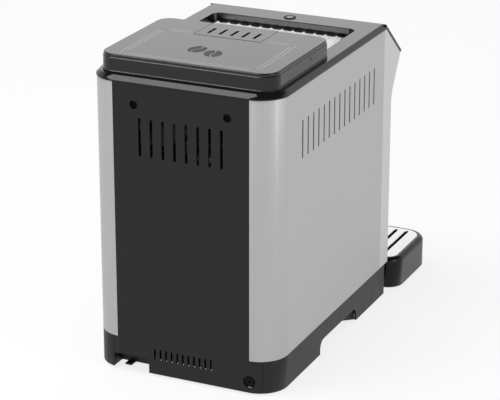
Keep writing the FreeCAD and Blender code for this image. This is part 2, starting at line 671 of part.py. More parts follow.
throat_x = ("throat_x - throat_half", "throat_x + throat_half")
throat_y = ("throat_y - throat_half", "throat_y + throat_half")
tower_x = ("-(chute_half + gap)", "chute_half + gap")
tower_y = ("chute_front - gap", "chute_back + gap")
tower_z = ("throat_height - 10", "lid_base + hopper_lip")
funnel = shrunk_hopper("hopper_funnel", "2 * gap", "throat_height", "lid_base")
flange = rounded_block("hopper_flange", ("-(hopper_half + hopper_flange)", "hopper_half + hopper_flange"),
                       ("hopper_front - hopper_flange", "hopper_back + hopper_flange"),
                       ("lid_base", "lid_base + hopper_lip"), "lid_corner / 2", "lid_corner / 2")
neck = box("hopper_neck", throat_x, throat_y, ("burr_low + 22", "throat_height"))
tower_wall = box("tower_wall", ("-(chute_half + gap + lid_wall)", "chute_half + gap + lid_wall"),
                 ("chute_front - gap - lid_wall", "chute_back + gap + lid_wall"), tower_z)
tower = common("tower", tower_wall, fuse("funnel_and_flange", funnel, flange))
knob_spot = ("knob_x", "throat_y")
post = cylinder("knob_post", "z", knob_spot, "shaft_radius + 4", ("throat_height - 4", "lid_base + hopper_lip"))
room_top = box("hopper_room_top", ("-(hopper_half - 2 * gap - lid_wall)", "hopper_half - 2 * gap - lid_wall"),
               ("hopper_front + 2 * gap + lid_wall", "hopper_back - 2 * gap - lid_wall"),
               ("lid_base", "lid_base + hopper_lip + 1"))
room = fuse("hopper_room",
            shrunk_hopper("hopper_room_funnel", "2 * gap + lid_wall", "throat_height", "lid_base"),
            box("neck_room", ("throat_x - throat_half + lid_wall", "throat_x + throat_half - lid_wall"),
                ("throat_y - throat_half + lid_wall", "throat_y + throat_half - lid_wall"),
                ("burr_low + 21", "throat_height + lid_wall")), room_top)
hopper_shell = cut("hopper_shell", fuse("hopper_outside", funnel, flange, neck), room)
hopper_full = fuse("hopper_full", hopper_shell, tower, post)
node(cut("bean_hopper", hopper_full, box("tower_room", tower_x, tower_y, ("throat_height - 11", "lid_top")),
         cylinder("knob_bore", "z", knob_spot, "shaft_radius + run_gap", ("throat_height - 5", "lid_top"))))

knob_base = "lid_base + hopper_lip + gap"
knob_disc = cylinder("knob_disc", "z", knob_spot, "knob_radius", (knob_base, "%s + knob_high" % knob_base))
flutes = []
for i in range(12):
    flute = cylinder("knob_flute_%d" % i, "z", ("knob_x + knob_radius * cos(%d deg)" % (30 * i),
                                                "throat_y + knob_radius * sin(%d deg)" % (30 * i)),
                     "knob_radius / 9", ("lid_base + hopper_lip", "lid_top"))
    flutes.append(flute)
knob_head = cut("knob_head", knob_disc, *flutes)
node(fuse("grind_knob", knob_head,
          cylinder("knob_shaft", "z", knob_spot, "shaft_radius",
                   ("burr_high - pinion_high", "%s + 1" % knob_base)),
          cylinder("knob_pinion", "z", knob_spot, "pinion_radius", ("burr_high - pinion_high", "burr_high"))))


def lid_tier(name, out, low, high, rim):
    """One tier of the lid: its outline grown outwards, between two heights."""
    return rounded_block(name, ("-(lid_half + %s)" % out, "lid_half + %s" % out),
                         ("lid_front - %s" % out, "lid_back + %s" % out), (low, high),
                         "lid_front_corner + %s" % out, "lid_corner + %s" % out, rim)


lid_shell = fuse("lid_shell",
                 lid_tier("lid_foot_rim", "lid_step * 1.75", "lid_base", "lid_base + lid_foot",
                          ("Chamfer", "lid_base + lid_foot", "lid_step * 0.7")),
                 lid_tier("lid_skirt", "lid_step", "lid_base", "lid_shoulder",
                          ("Chamfer", "lid_shoulder", "lid_step * 0.9")),
                 lid_tier("lid_crown", "0", "lid_base", "lid_top", ("Fillet", "lid_top", "lid_round")))
lid_room = lid_tier("lid_room", "(lid_step - lid_wall)", "lid_base - 1", "lid_top - lid_wall", None)
door_gap_half = "door_half + door_gap"
door_opening = prism("door_opening", "XY",
                     rectangle(("-(%s)" % door_gap_half, door_gap_half), ("lid_front - 1", "door_back")),
                     ("lid_base - 1", "lid_top + 1"))
hinge_spot = ("hinge_y", "hinge_z")
ears = []
for i, x in enumerate((("-(%s) - 5" % door_gap_half, "-(%s)" % door_gap_half),
                       (door_gap_half, "%s + 5" % door_gap_half))):
    ears.append(box("hinge_ear_%d" % i, x, ("hinge_y - 4", "hinge_y + 4"),
                    ("hinge_z - 4", "lid_top - lid_wall / 2")))
pin_reach = "door_half + 4"
node(cut("hopper_lid", fuse("lid_with_ears", cut("lid_cover", lid_shell, lid_room, door_opening), *ears),
         cylinder("hinge_bore", "x", hinge_spot, "door_pin + run_gap",
                  ("-(%s) - 0.5" % pin_reach, "%s + 0.5" % pin_reach))))

door_under = "lid_top - door_thick"
door_plate = prism("door_plate", "XY", rectangle(("-door_half", "door_half"), ("lid_front", "hinge_y")),
                   (door_under, "lid_top"))
first = upright_slot(door_plate, "door_grip", "XY", "-grip_slot_pitch * 2", "chute_front + 8.5",
                     "chute_front + 8.5 + grip_slot_long", "grip_slot_wide")
repeat(door_plate, first, "X", "grip_slot_pitch", 5)
door_front = box("door_front", ("-door_half", "door_half"), ("lid_front", "lid_front + lid_wall"),
                 ("lid_base + gap", "lid_top - 1"))
node(fuse("ground_coffee_door", door_plate, door_front,
          cylinder("door_edge", "x", hinge_spot, "door_thick / 2", ("-door_half", "door_half")),
          cylinder("door_pins", "x", hinge_spot, "door_pin", ("-(%s)" % pin_reach, pin_reach))))


def chute_part(name, by, low, high):
    """The chute's outline between two heights, shrunk by a wall: upright above the drop, tapering below it."""
    top = shrunk(("-chute_half", "chute_half"), ("chute_front", "chute_back"), by)
    mouth = shrunk(("brew_x - chute_mouth_half", "brew_x + chute_mouth_half"),
                   ("brew_y - chute_mouth_half - 4", "brew_y + chute_mouth_half - 6"), by)
    taper = loft(name + "_taper", mouth, low, top, "chute_drop")
    upper = prism(name + "_upper", "XY", top, ("chute_drop", high))
    return fuse(name, taper, upper)


node(cut("ground_coffee_chute", chute_part("chute_outside", "0", "chute_end", "lid_base + hopper_lip"),
         chute_part("chute_inside", "lid_wall", "chute_end", "lid_top")))

# ---------------------------------------------------------------- front: fascia, nose, controls

fascia_x = ("-(cheek_inner - gap)", "tank_left - slide_gap - gap")
fascia_y = ("-fascia_y", "-(fascia_y - wall)")
fascia_z = ("deck_top - deck_thick", "nose_root - 3 - gap")
bearing_spot = ("wand_x", "wand_height")
bearing = cylinder("wand_bearing", "y", bearing_spot, "wand_pivot + wall", ("-fascia_y - 5", "-fascia_y"))
slot_x = ("spout_x - stem_half - gap", "spout_x + stem_half + gap")
fascia_cuts = [
    box("bin_opening", ("bin_left - slide_gap", "bin_right + slide_gap"),
        ("-fascia_y - 1", "-fascia_y + wall + 1"),
        ("skirt_top", "bin_high + slide_gap")),
    box("spout_slot", slot_x, ("-fascia_y - 1", "-fascia_y + wall + 1"),
        ("stem_low - gap", "stem_low + stem_high + spout_travel + gap")),
    cylinder("wand_bore", "y", bearing_spot, "wand_pivot + run_gap", ("-fascia_y - 6", "-fascia_y + wall + 1")),
]
node(cut("front_fascia", fuse("fascia_whole", box("fascia_sheet", fascia_x, fascia_y, fascia_z), bearing),
         *fascia_cuts))

roof_back = "-(fascia_y - 7)"
nose_outline = [slope_point("slope_long - 2.5", "-cheek_sink"), ("-front", "nose_root - 3"),
                (roof_back, "nose_root - 3"),
                (roof_back, "nose_root - 3 + wall"), ("-front + 1.4", "nose_root - 3 + wall"),
                slope_point("slope_long - 6", "-cheek_sink")]
inner_x = ("-(cheek_inner - gap)", "cheek_inner - gap")
node(prism("nose_underside", "YZ", nose_outline, inner_x))

drop = "gap * slope_z / slope_y"
panel_outline = [("-(top_front + gap)", "frame_top - " + drop), slope_point("slope_long", "0"),
                 slope_point("slope_long", "-panel_slope_thick"),
                 ("-(top_front + gap)", "frame_top - %s - panel_slope_thick / slope_y" % drop)]
key_middle = "slope_long / 2"
key_holes = []
panel_posts = []


def slope_block(name, x, along, above):
    """A block square to the control slope."""
    outline = [slope_point(along[0], above[1]), slope_point(along[1], above[1]),
               slope_point(along[1], above[0]),
               slope_point(along[0], above[0])]
    return prism(name, "YZ", outline, x)


board_top = "-panel_slope_thick - 5"
for i, x in enumerate(("-(cheek_inner - 14)", "cheek_inner - 20")):
    for j, along in enumerate(("14", "slope_long - 16")):
        panel_posts.append(slope_block("panel_post_%d%d" % (i, j), (x, "%s + 6" % x), (along, "%s + 6" % along),
                                       (board_top, "-panel_slope_thick")))
for i in range(6):
    x = "key_pitch * %.1f" % (i - 2.5)
    half = "key_wide / 2"
    tall = "key_high / 2"
    key_holes.append(slope_block("key_hole_%d" % (i + 1),
                                 ("%s - %s - gap" % (x, half), "%s + %s + gap" % (x, half)),
                                 ("%s - %s - gap" % (key_middle, tall), "%s + %s + gap" % (key_middle, tall)),
                                 ("-panel_slope_thick - 1", "2")))
    cap = slope_block("key_cap_%d" % (i + 1), ("%s - %s" % (x, half), "%s + %s" % (x, half)),
                      ("%s - %s" % (key_middle, tall), "%s + %s" % (key_middle, tall)),
                      ("-panel_slope_thick - gap - 1", "key_proud"))
    rim = slope_block("key_rim_%d" % (i + 1), ("%s - %s - 2" % (x, half), "%s + %s + 2" % (x, half)),
                      ("%s - %s - 2" % (key_middle, tall), "%s + %s + 2" % (key_middle, tall)),
                      ("-panel_slope_thick - gap - 1.2", "-panel_slope_thick - gap"))
    node(fuse("key_%d" % (i + 1), cap, rim))
panel_sheet = prism("panel_sheet", "YZ", panel_outline, ("-(side + frame_lip / 2)", "side + frame_lip / 2"),
                    {1: "1.2"})
node(fuse("control_panel", cut("panel_cut", panel_sheet, *key_holes), *panel_posts))
board_x = ("-(cheek_inner - 10)", "cheek_inner - 10")
board = slope_block("board_sheet", board_x, ("10", "slope_long - 8"),
                    ("%s - board_thick" % board_top, board_top))
switches = []
for i in range(6):
    x = "key_pitch * %.1f" % (i - 2.5)
    switches.append(slope_block("switch_%d" % (i + 1), ("%s - 3" % x, "%s + 3" % x),
                                ("%s - 3" % key_middle, "%s + 3" % key_middle), (board_top,
                                                                                 "%s + 1.5" % board_top)))
node(fuse("control_board", board, *switches))

# ---------------------------------------------------------------- drip tray, grid, float, grounds container

tray_half = "tray_width / 2"
outer_y = ("-tray_reach", "-tray_back")
tray_outer = rounded_block("tray_outer", ("-tray_width / 2", "tray_width / 2"), outer_y,
                           ("foot_height", "tray_top"),
                           "tray_front_round", "tray_back_round", ("Fillet", "tray_top", "tray_rim"))
tray_inner = box("tray_inner", ("-tray_inner_half", "tray_inner_half"), ("-tray_back - 20", "tray_inner_back"),
                 ("foot_height", "tray_inner_top"))


def tray_room(name, inset, low, high, less):
    return rounded_block(name, ("-(%s) + %s" % (tray_half, inset), "%s - (%s)" % (tray_half, inset)),
                         ("-tray_reach + " + inset, "-tray_back - " + inset), (low, high),
                         "tray_front_round - " + less, "tray_back_round - " + less)


ledge_top = "tray_top - grid_thick"
low_room = tray_room("tray_low_room", "wall", "tray_floor", "tray_top - 10", "wall")
mid_room = tray_room("tray_mid_room", "(grid_inset + grid_ledge)", "tray_floor", "tray_top + 1",
                     "(grid_inset + grid_ledge)")
top_room = tray_room("tray_top_room", "grid_inset", "%s - gap" % ledge_top, "tray_top + 1", "grid_inset")
inner_room = box("tray_inner_room", ("-(tray_inner_half - wall)", "tray_inner_half - wall"),
                 ("-tray_back - grid_inset - 3", "tray_inner_back - wall"), ("tray_floor", "tray_inner_top"))
node(cut("drip_tray", fuse("tray_whole", tray_outer, tray_inner), low_room, mid_room, top_room, inner_room,
         box("tray_bin_room", ("-(tray_inner_half - wall)", "tray_inner_half - wall"),
             ("-tray_back + gap", "tray_inner_back - wall"),
             ("tray_floor", "tray_top + 1"))))

grid = rounded_block("drip_grid", ("-(grid_half - gap)", "grid_half - gap"),
                     ("-(grid_front - gap)", "-(grid_back + gap)"), (ledge_top, "tray_top"),
                     "tray_front_round - grid_inset - gap", "tray_back_round - grid_inset - gap")
slot_y = ("-(grid_front - drip_slot_inset)", "-(grid_back + drip_slot_inset)")
first = upright_slot(grid, "drip_slot", "XY", "-drip_slot_pitch * 7", slot_y[0], slot_y[1], "drip_slot_wide")
repeat(grid, first, "X", "drip_slot_pitch", 15)
node(grid)

float_y = ("-tray_back - 46", "-tray_back - 16")
blade_y = ("-tray_back - 42", "-tray_back - 20")
pontoon = box("pontoon", ("float_x - float_half", "float_x + float_half"), float_y,
              ("tray_floor + gap", "tray_floor + gap + float_high"))
blade = box("float_blade_solid", ("float_x - float_blade", "float_x + float_blade"), blade_y,
            ("tray_floor + gap + float_high - 1", "tray_top - 0.5"))
node(fuse("tray_float", pontoon, blade))

bin_low = "tray_floor + gap"
bin_x = ("bin_left", "bin_right")
bin_block = rounded_block("bin_block", bin_x, ("-(front - gap)", "bin_back"), (bin_low, "bin_high"), "wall * 2",
                          "wall * 2")
bin_room = rounded_block("bin_room", ("bin_left + wall", "bin_right - wall"),
                         ("-(front - gap) + wall", "bin_back - wall"),
                         ("%s + wall" % bin_low, "bin_high + 1"), "wall", "wall")
node(cut("grounds_container", bin_block, bin_room))

# ---------------------------------------------------------------- water tank

tank_x = ("tank_left", "tank_right")
tank_y = ("-(front - 1)", "tank_back")
tank_block = rounded_block("tank_block", tank_x, tank_y, ("tank_low", "tank_high"), "tank_round", "tank_round")
tank_room = rounded_block("tank_room", ("tank_left + tank_wall", "tank_right - tank_wall"),
                          ("-(front - 1) + tank_wall", "tank_back - tank_wall"),
                          ("tank_low + tank_wall",
                           "tank_high + 1"), "tank_round - tank_wall", "tank_round - tank_wall")
tank_middle = "(tank_left + tank_right) / 2"
valve_spot = (tank_middle, "tank_valve_height")
valve = cylinder("tank_valve", "y", valve_spot, "tank_valve_radius",
                 ("tank_back - tank_wall / 2", "tank_back + 8"))
valve_bore = cylinder("tank_valve_bore", "y", valve_spot, "tank_valve_radius - 2",
                      ("tank_back - tank_wall - 1", "tank_back + 9"))
rod_spot = (tank_middle, "tank_back - 22")
float_rod = cylinder("float_rod", "z", rod_spot, "2", ("tank_low + tank_wall - 0.5", "tank_low + 110"))
node(cut("water_tank", fuse("tank_whole", cut("tank_shell", tank_block, tank_room), valve, float_rod),
         valve_bore))
float_block = rounded_block("tank_float_block", ("%s - 10" % tank_middle, "%s + 10" % tank_middle),
                            ("tank_back - 32", "tank_back - 12"),
                            ("tank_valve_height + tank_valve_radius + 2",
                             "tank_valve_height + tank_valve_radius + 14"),
                            "3", "3")
node(cut("tank_float", float_block,
         cylinder("tank_float_bore", "z", rod_spot, "2 + gap", ("tank_low", "tank_high"))))
lid_low = "tank_high + gap"
lid_block = rounded_block("tank_lid_block", tank_x, tank_y, (lid_low, "%s + tank_lid_high" % lid_low),
                          "tank_round", "tank_round", ("Fillet", "%s + tank_lid_high" % lid_low, "1.5"))
lid_plug = rounded_block("tank_lid_plug", ("tank_left + tank_wall + gap", "tank_right - tank_wall - gap"),
                         ("-(front - 1) + tank_wall + gap", "tank_back - tank_wall - gap"), ("tank_high - 4",
                                                                                             lid_low),
                         "tank_round - tank_wall - gap", "tank_round - tank_wall - gap")
lid_grip = box("tank_lid_grip", ("tank_left + 14", "tank_right - 14"),
               ("-(front - 1) - tank_lip", "-(front - 1) + 5"),
               (lid_low, "%s + 3" % lid_low))
filler = box("tank_filler", ("%s - 15" % tank_middle, "%s + 15" % tank_middle),
             ("-crease + 10", "-crease + 80"),
             ("tank_high - 5", "tank_high + tank_lid_high + 2"))
node(cut("tank_lid", fuse("tank_lid_whole", lid_block, lid_plug, lid_grip), filler))
seat = box("inlet_block", ("%s - 13" % tank_middle, "%s + 13" % tank_middle),
           ("tank_back + gap", "tank_back + 24"),
           ("deck_top", "tank_valve_height + tank_valve_radius + 5"))
node(cut("water_inlet", seat, cylinder("inlet_socket", "y", valve_spot, "tank_valve_radius + gap",
                                       ("tank_back - 1", "tank_back + 9")),
         cylinder("inlet_passage", "y", valve_spot, "tank_valve_radius - 2", ("tank_back", "tank_back + 18"))))

# ---------------------------------------------------------------- coffee spout and steam wand

spout_x = ("spout_x - spout_half", "spout_x + spout_half")
spout_outline = [("-(spout_face + gap)", "spout_high - 30"), ("-(spout_face + gap)", "spout_high"),
                 ("-(spout_reach - 22)", "spout_high"), ("-spout_reach", "spout_high - 16"),
                 ("-spout_reach", "spout_low"), ("-(spout_reach - 42)", "spout_low"),
                 ("-(spout_reach - 50)", "spout_high - 30")]
spout_body = prism("spout_body", "YZ", spout_outline, spout_x, {1: "3", 2: "10", 3: "10"})
stem = box("spout_stem", ("spout_x - stem_half", "spout_x + stem_half"),
           ("-(spout_face + gap + 1)", "-(slider_back) - 0.5"),
           ("stem_low", "stem_low + stem_high"))
slider = box("spout_slider", ("spout_x - stem_half - 6", "spout_x + stem_half + 6"),
             ("-slider_front", "-slider_back"),
             ("stem_low", "stem_low + stem_high"))
nozzle_y = "-(spout_reach - 21)"
nozzles = []
spout_bores = []
for i, hand in enumerate(("-", "+")):
    spot = ("spout_x %s nozzle_spread" % hand, nozzle_y)
    nozzles.append(cut("nozzle_%d" % i, cylinder("nozzle_tube_%d" % i, "z", spot, "nozzle_radius",
                                                 ("spout_low - nozzle_long", "spout_low")),
                       cylinder("nozzle_bore_%d" % i, "z", spot, "nozzle_radius / 2",
                                ("spout_low - nozzle_long - 1", "spout_low + 1"))))
    spout_bores.append(cylinder("spout_bore_%d" % i, "z", spot, "nozzle_radius / 2",
                                ("spout_low - 1", "spout_low + 24")))
spout_bores.append(cylinder("spout_feed", "y", ("spout_x", "stem_low + stem_high / 2"), "nozzle_radius / 2",
                            ("-(spout_reach - 16)", "-(slider_back) + 1")))
spout_bores.append(box("spout_crossing", ("spout_x - nozzle_spread", "spout_x + nozzle_spread"),
                       ("-(spout_reach - 19)", "-(spout_reach - 23)"), ("spout_low + 20", "spout_low + 32")))
node(cut("coffee_spout", fuse("spout_whole", spout_body, stem, slider), *spout_bores))
node(fuse("spout_nozzles", *nozzles))
rail_z = ("stem_low - 6", "stem_low + stem_high + spout_travel + 6")
rail_half = "stem_half + 6 + gap"
rail_block = box("rail_block",
                 ("spout_x - (%s) - rail_thick" % rail_half, "spout_x + %s + rail_thick" % rail_half),
                 ("-(fascia_y - wall - gap)", "-(slider_back - gap - rail_thick)"), rail_z)
rail_room = box("rail_room", ("spout_x - (%s)" % rail_half, "spout_x + %s" % rail_half),
                ("-(fascia_y - wall + 1)", "-(slider_back - gap)"), ("stem_low - 7",
                                                                     "stem_low + stem_high + spout_travel + 7"))
rail_slot = box("rail_slot", ("spout_x - 4", "spout_x + 4"), ("-fascia_y", "-(slider_back - 10)"),
                ("stem_low", "stem_low + stem_high + spout_travel"))
node(cut("spout_rail", rail_block, rail_room, rail_slot))

wand_spot = ("wand_x", "-wand_y")
wand_parts = [
    cylinder("wand_stub", "y", bearing_spot, "wand_pivot", ("-wand_y", "-(fascia_y - wall - 2.5)")),
    cylinder("wand_clip", "y", bearing_spot, "wand_pivot + 2",
             ("-(fascia_y - wall - gap)", "-(fascia_y - wall - 2.5)")),
    ball("wand_ball_solid", ("wand_x", "-wand_y", "wand_height"), "wand_ball"),
    cylinder("wand_tube", "z", wand_spot, "wand_radius", ("wand_foot", "wand_height")),
    cylinder("wand_tip", "z", wand_spot, "wand_radius + 1.3", ("wand_foot - 6", "wand_foot + 1")),
]
node(cut("steam_wand", fuse("wand_whole", *wand_parts),
         cylinder("wand_passage", "z", wand_spot, "wand_radius / 2", ("wand_foot - 7", "wand_height")),
         cylinder("wand_feed", "y", bearing_spot, "wand_radius / 2", ("-wand_y", "-(fascia_y - 20)"))))
sleeve = cylinder("sleeve_tube", "z", wand_spot, "sleeve_radius",
                  ("wand_foot + 2", "wand_foot + 2 + sleeve_long"))
node(cut("frother_sleeve", sleeve, cylinder("sleeve_bore", "z", wand_spot, "wand_radius + run_gap",
                                            ("wand_foot", "wand_height"))))

# ---------------------------------------------------------------- chassis

deck_x = "(inner_side - 2 * gap)"
deck_z = ("deck_top - deck_thick", "deck_top")
deck_front = "-(base_front - 2)"
deck_back = "body_back - rear_thick - 2 * gap"
deck_round = "corner_radius - sheet_thick - gap"
deck = prism("deck", "XY", rectangle(("-" + deck_x, deck_x), (deck_front, deck_back)), deck_z,
             {2: deck_round, 3: deck_round})
deck_corners = [box("deck_corner_" + hand, x, ("-base_front - 1", "-crease + 2"), ("skirt_top", "deck_top + 1"))
                for hand, x in (("left", ("-side", "-(cheek_inner - gap)")),
                                ("right", ("cheek_inner - gap", "side")))]
bin_bay_x = ("works_wall_x", "bay_wall_x")
bin_bay_back = "bin_back + slide_gap + wall"
bay_hole = box("bin_bay_hole", bin_bay_x, ("-base_front - 1", bin_bay_back), ("skirt_top", "deck_top + 1"))
wall_y = (deck_front, "body_back - 12")
wall_z = ("deck_top - 1", "works_top")
right_wall = box("works_wall_right", ("bay_wall_x", "bay_wall_x + wall"), wall_y, wall_z)
left_wall = box("works_wall_left", ("works_wall_x - wall", "works_wall_x"), wall_y, wall_z)
bin_wall = box("bin_back_wall", ("works_wall_x - 1", "bay_wall_x + 1"),
               (bin_bay_back, "%s + wall" % bin_bay_back),
               ("deck_top - 1", "bin_high + 8"))
shelf_plate = box("grinder_shelf", ("works_wall_x - 1", "bay_wall_x + 1"), ("shelf_edge", "body_back - 12"),
                  ("shelf_height", "shelf_height + deck_thick"))
shaft_spot = ("throat_x", "throat_y")
shaft_hole = cylinder("shelf_shaft_hole", "z", shaft_spot, "shaft_radius + 2",
                      ("shelf_height - 1", "shelf_height + 4"))
hose_hole = cylinder("inlet_hose_hole", "x", ("tank_back + 16", "tank_valve_height"), "hose_radius + gap",
                     ("works_wall_x - 4", "bay_wall_x + 4"))
through_deck = ("skirt_top", "deck_top + 1")
cord_hole = cylinder("deck_cord_hole", "z", ("gland_x", "gland_y - cord_shift"), "gland_radius", through_deck)
vent_hole = box("deck_air_hole", ("brew_x - 30", "brew_x + 30"), ("spindle_y + 30", "spindle_y + 80"),
                through_deck)
deck_cut = cut("deck_cut", deck, bay_hole, *deck_corners)
node(cut("chassis", fuse("chassis_whole", deck_cut, right_wall, left_wall, bin_wall, shelf_plate),
         shaft_hole, hose_hole, cord_hole, vent_hole))

# ---------------------------------------------------------------- grinder

housing_z = ("grinder_base - gap", "works_top - 1 - gap")
housing_outer = cylinder("housing_outer", "z", shaft_spot, "grinder_radius", housing_z)
housing_room = cylinder("housing_room", "z", shaft_spot, "burr_ring + gap",
                        ("grinder_base - gap + wall", "works_top"))
housing_bore = cylinder("housing_bore", "z", shaft_spot, "shaft_radius + gap",
                        ("grinder_base - 2", "works_top"))
duct_x = ("brew_x - 10", "brew_x + 10")
duct_root = "throat_y - grinder_radius + 6"
duct_drop = "8"
duct_low = "grinder_base + wall"
duct_outline = [("brew_y + 12", "%s - %s" % (duct_low, duct_drop)), (duct_root, duct_low),
                (duct_root, "%s + 14" % duct_low), ("brew_y + 12", "%s + 14 - %s" % (duct_low, duct_drop))]
duct = prism("duct_outside", "YZ", duct_outline, duct_x)
duct_inner = [("brew_y + 11", "%s - %s + 1.5" % (duct_low, duct_drop)),
              ("throat_y - 20", "%s + 1.5 + 3" % duct_low),
              ("throat_y - 20", "%s + 12.5" % duct_low), ("brew_y + 11",
                                                          "%s + 12.5 - %s" % (duct_low, duct_drop))]
duct_hollow = prism("duct_inside", "YZ", duct_inner, ("brew_x - 8.5", "brew_x + 8.5"))
node(cut("grinder_housing", fuse("housing_with_duct", housing_outer, duct), housing_room, housing_bore,
         duct_hollow))

rotor_low = "grinder_base + wall + 1"
rotor_parts = [
    cylinder("rotor_disc", "z", shaft_spot, "rotor_radius", (rotor_low, "%s + 6" % rotor_low)),
    cone("rotor_cone", "z", shaft_spot, "burr_bore - 3", "burr_bore / 2 - 2",
         ("%s + 5" % rotor_low, "%s + 26" % rotor_low)),
    cylinder("rotor_shaft", "z", shaft_spot, "shaft_radius", ("shelf_height - 20", "%s + 1" % rotor_low)),
]
node(fuse("grinder_rotor", *rotor_parts))
burr_block = cylinder("burr_block", "z", shaft_spot, "burr_ring", ("burr_low", "burr_high"))
node(cut("upper_burr", burr_block,
         cylinder("burr_hole", "z", shaft_spot, "burr_bore", ("burr_low - 1", "burr_high + 1"))))
motor_low = "shelf_height - gap - motor_long"
motor_body = cylinder("grinder_motor_can", "z", shaft_spot, "motor_radius", (motor_low, "shelf_height - gap"))
motor_bore = cylinder("grinder_motor_bore", "z", shaft_spot, "shaft_radius + run_gap",
                      ("shelf_height - 21", "shelf_height"))
motor_nose = cylinder("grinder_motor_nose", "z", shaft_spot, "motor_radius / 3",
                      ("%s - 6" % motor_low, "%s + 1" % motor_low))
node(cut("grinder_motor", fuse("grinder_motor_whole", motor_body, motor_nose), motor_bore))

# ---------------------------------------------------------------- brew unit

brew_spot = ("brew_x", "brew_y")
spindle_spot = ("brew_x", "spindle_y")
frame_x = ("brew_x - frame_half", "brew_x + frame_half")
plate_low = "chamber_high - 3 - gap - 4"
frame_parts = [
    box("brew_foot", frame_x, ("brew_y - chamber_radius - 2", "frame_back + 3.5"),
        ("deck_top", "deck_top + 3")),
    box("brew_back", frame_x, ("frame_back", "frame_back + 3.5"), ("deck_top", "chamber_high")),
    box("brew_plate", frame_x, ("brew_y - chamber_radius - 2", "frame_back + 1"),
        (plate_low, "%s + 4" % plate_low)),
]
node(cut("brew_frame", fuse("brew_frame_whole", *frame_parts),
         cylinder("brew_plate_hole", "z", brew_spot, "chamber_radius + gap",
                  ("chamber_low", "chamber_high + 1")),
         cylinder("spindle_top_bore", "z", spindle_spot, "spindle_radius + run_gap",
                  ("chamber_low", "chamber_high + 1"))))
chamber_tube = cylinder("chamber_tube", "z", brew_spot, "chamber_radius", ("chamber_low", "chamber_high"))
chamber_rim = cylinder("chamber_rim", "z", brew_spot, "chamber_radius + 3",
                       ("chamber_high - 3", "chamber_high"))
node(cut("brew_chamber", fuse("chamber_whole", chamber_tube, chamber_rim),
         cylinder("chamber_bore", "z", brew_spot, "piston_radius + run_gap",
                  ("chamber_low - 1", "chamber_high + 1"))))
arm_z = ("arm_low", "arm_low + arm_high")
piston = fuse("piston_whole",
              cylinder("piston_disc", "z", brew_spot, "piston_radius", ("chamber_low + 2", "chamber_low + 10")),
              cylinder("piston_rod", "z", brew_spot, "rod_radius", ("arm_low", "chamber_low + 3")),
              box("piston_arm", ("brew_x - rod_radius - 2", "brew_x + rod_radius + 2"),
                  ("brew_y - rod_radius", "frame_back - 1"), arm_z))
node(cut("piston_carriage", piston,
         cylinder("piston_nut", "z", spindle_spot, "spindle_radius + run_gap",
                  ("arm_low - 1", "arm_low + arm_high + 1"))))
drive_top = "arm_low - 4"
node(cylinder("brew_spindle", "z", spindle_spot, "spindle_radius",
              ("%s - 8" % drive_top, "%s + 3" % plate_low)))
drive = box("drive_body", ("brew_x - 25", "brew_x + 25"), ("brew_y + rod_radius + 2", "frame_back - gap"),
            ("deck_top + 3 + gap", drive_top))
node(cut("brew_drive_motor", drive,
         cylinder("drive_bore", "z", spindle_spot, "spindle_radius + run_gap",
                  ("%s - 9" % drive_top, "%s + 1" % drive_top))))

# ---------------------------------------------------------------- water works and electronics

pump_y = ("pump_front", "pump_front + pump_long")
pump_spot = ("works_x", "pump_height")
pump_parts = [
    cylinder("pump_middle", "y", pump_spot, "pump_radius", ("pump_front + 14", "pump_front + pump_long - 14")),
    cylinder("pump_ends", "y", pump_spot, "pump_radius - 8", pump_y),
]
node(fuse("pump", *pump_parts))
mounts = []
for i, y in enumerate(("pump_front + 20", "pump_front + pump_long - 28")):
    mounts.append(cut("pump_mount_%d" % i,
                      box("pump_mount_block_%d" % i, ("works_x - 16", "works_x + 16"), (y, "%s + 8" % y),
                                               ("deck_top", "pump_height - 2")),
                      cylinder("pump_cradle_%d" % i, "y", pump_spot, "pump_radius + run_gap",
                               ("%s - 1" % y, "%s + 9" % y))))
node(fuse("pump_mounts", *mounts))

heater_x = ("-(inner_side - 5)", "works_wall_x - wall - gap")
heater = box("heater_block", heater_x, ("heater_front", "heater_back"), ("heater_low", "heater_high"))
fins = []
for i in range(8):
    y = "heater_front + (heater_back - heater_front) * %d / 8 + 3" % i
    fins.append(box("heater_groove_%d" % i, ("-(inner_side - 4)", "-(inner_side - 9)"), (y, "%s + 4" % y),
                    ("heater_low - 1", "heater_high + 1")))
hose_spot = ("works_x", "pump_front + 7")
fins.append(cylinder("heater_inlet", "z", hose_spot, "hose_radius + gap", ("heater_low - 1", "heater_low + 8")))
node(cut("thermoblock", heater, *fins))
node(cut("pump_hose", cylinder("pump_hose_tube", "z", hose_spot, "hose_radius",
                               ("pump_height + pump_radius - 8", "heater_low + 7")),
         cylinder("pump_hose_bore", "z", hose_spot, "hose_radius / 2", ("pump_height", "heater_low + 8"))))
meter_spot = ("works_x", "meter_y")
node(fuse("flow_meter",
          cylinder("meter_drum", "z", meter_spot, "meter_radius", ("deck_top", "deck_top + meter_high")),
          cylinder("meter_cap", "z", meter_spot, "meter_radius - 4",
                   ("deck_top + meter_high - 1", "deck_top + meter_high + 4"))))
inlet_spot = ("tank_back + 16", "tank_valve_height")
node(cut("inlet_hose", cylinder("inlet_hose_tube", "x", inlet_spot, "hose_radius",
                                ("works_x + meter_radius + gap", "(%s) - 13" % tank_middle)),
         cylinder("inlet_hose_bore", "x", inlet_spot, "hose_radius / 2", ("works_x", "tank_left + 30"))))

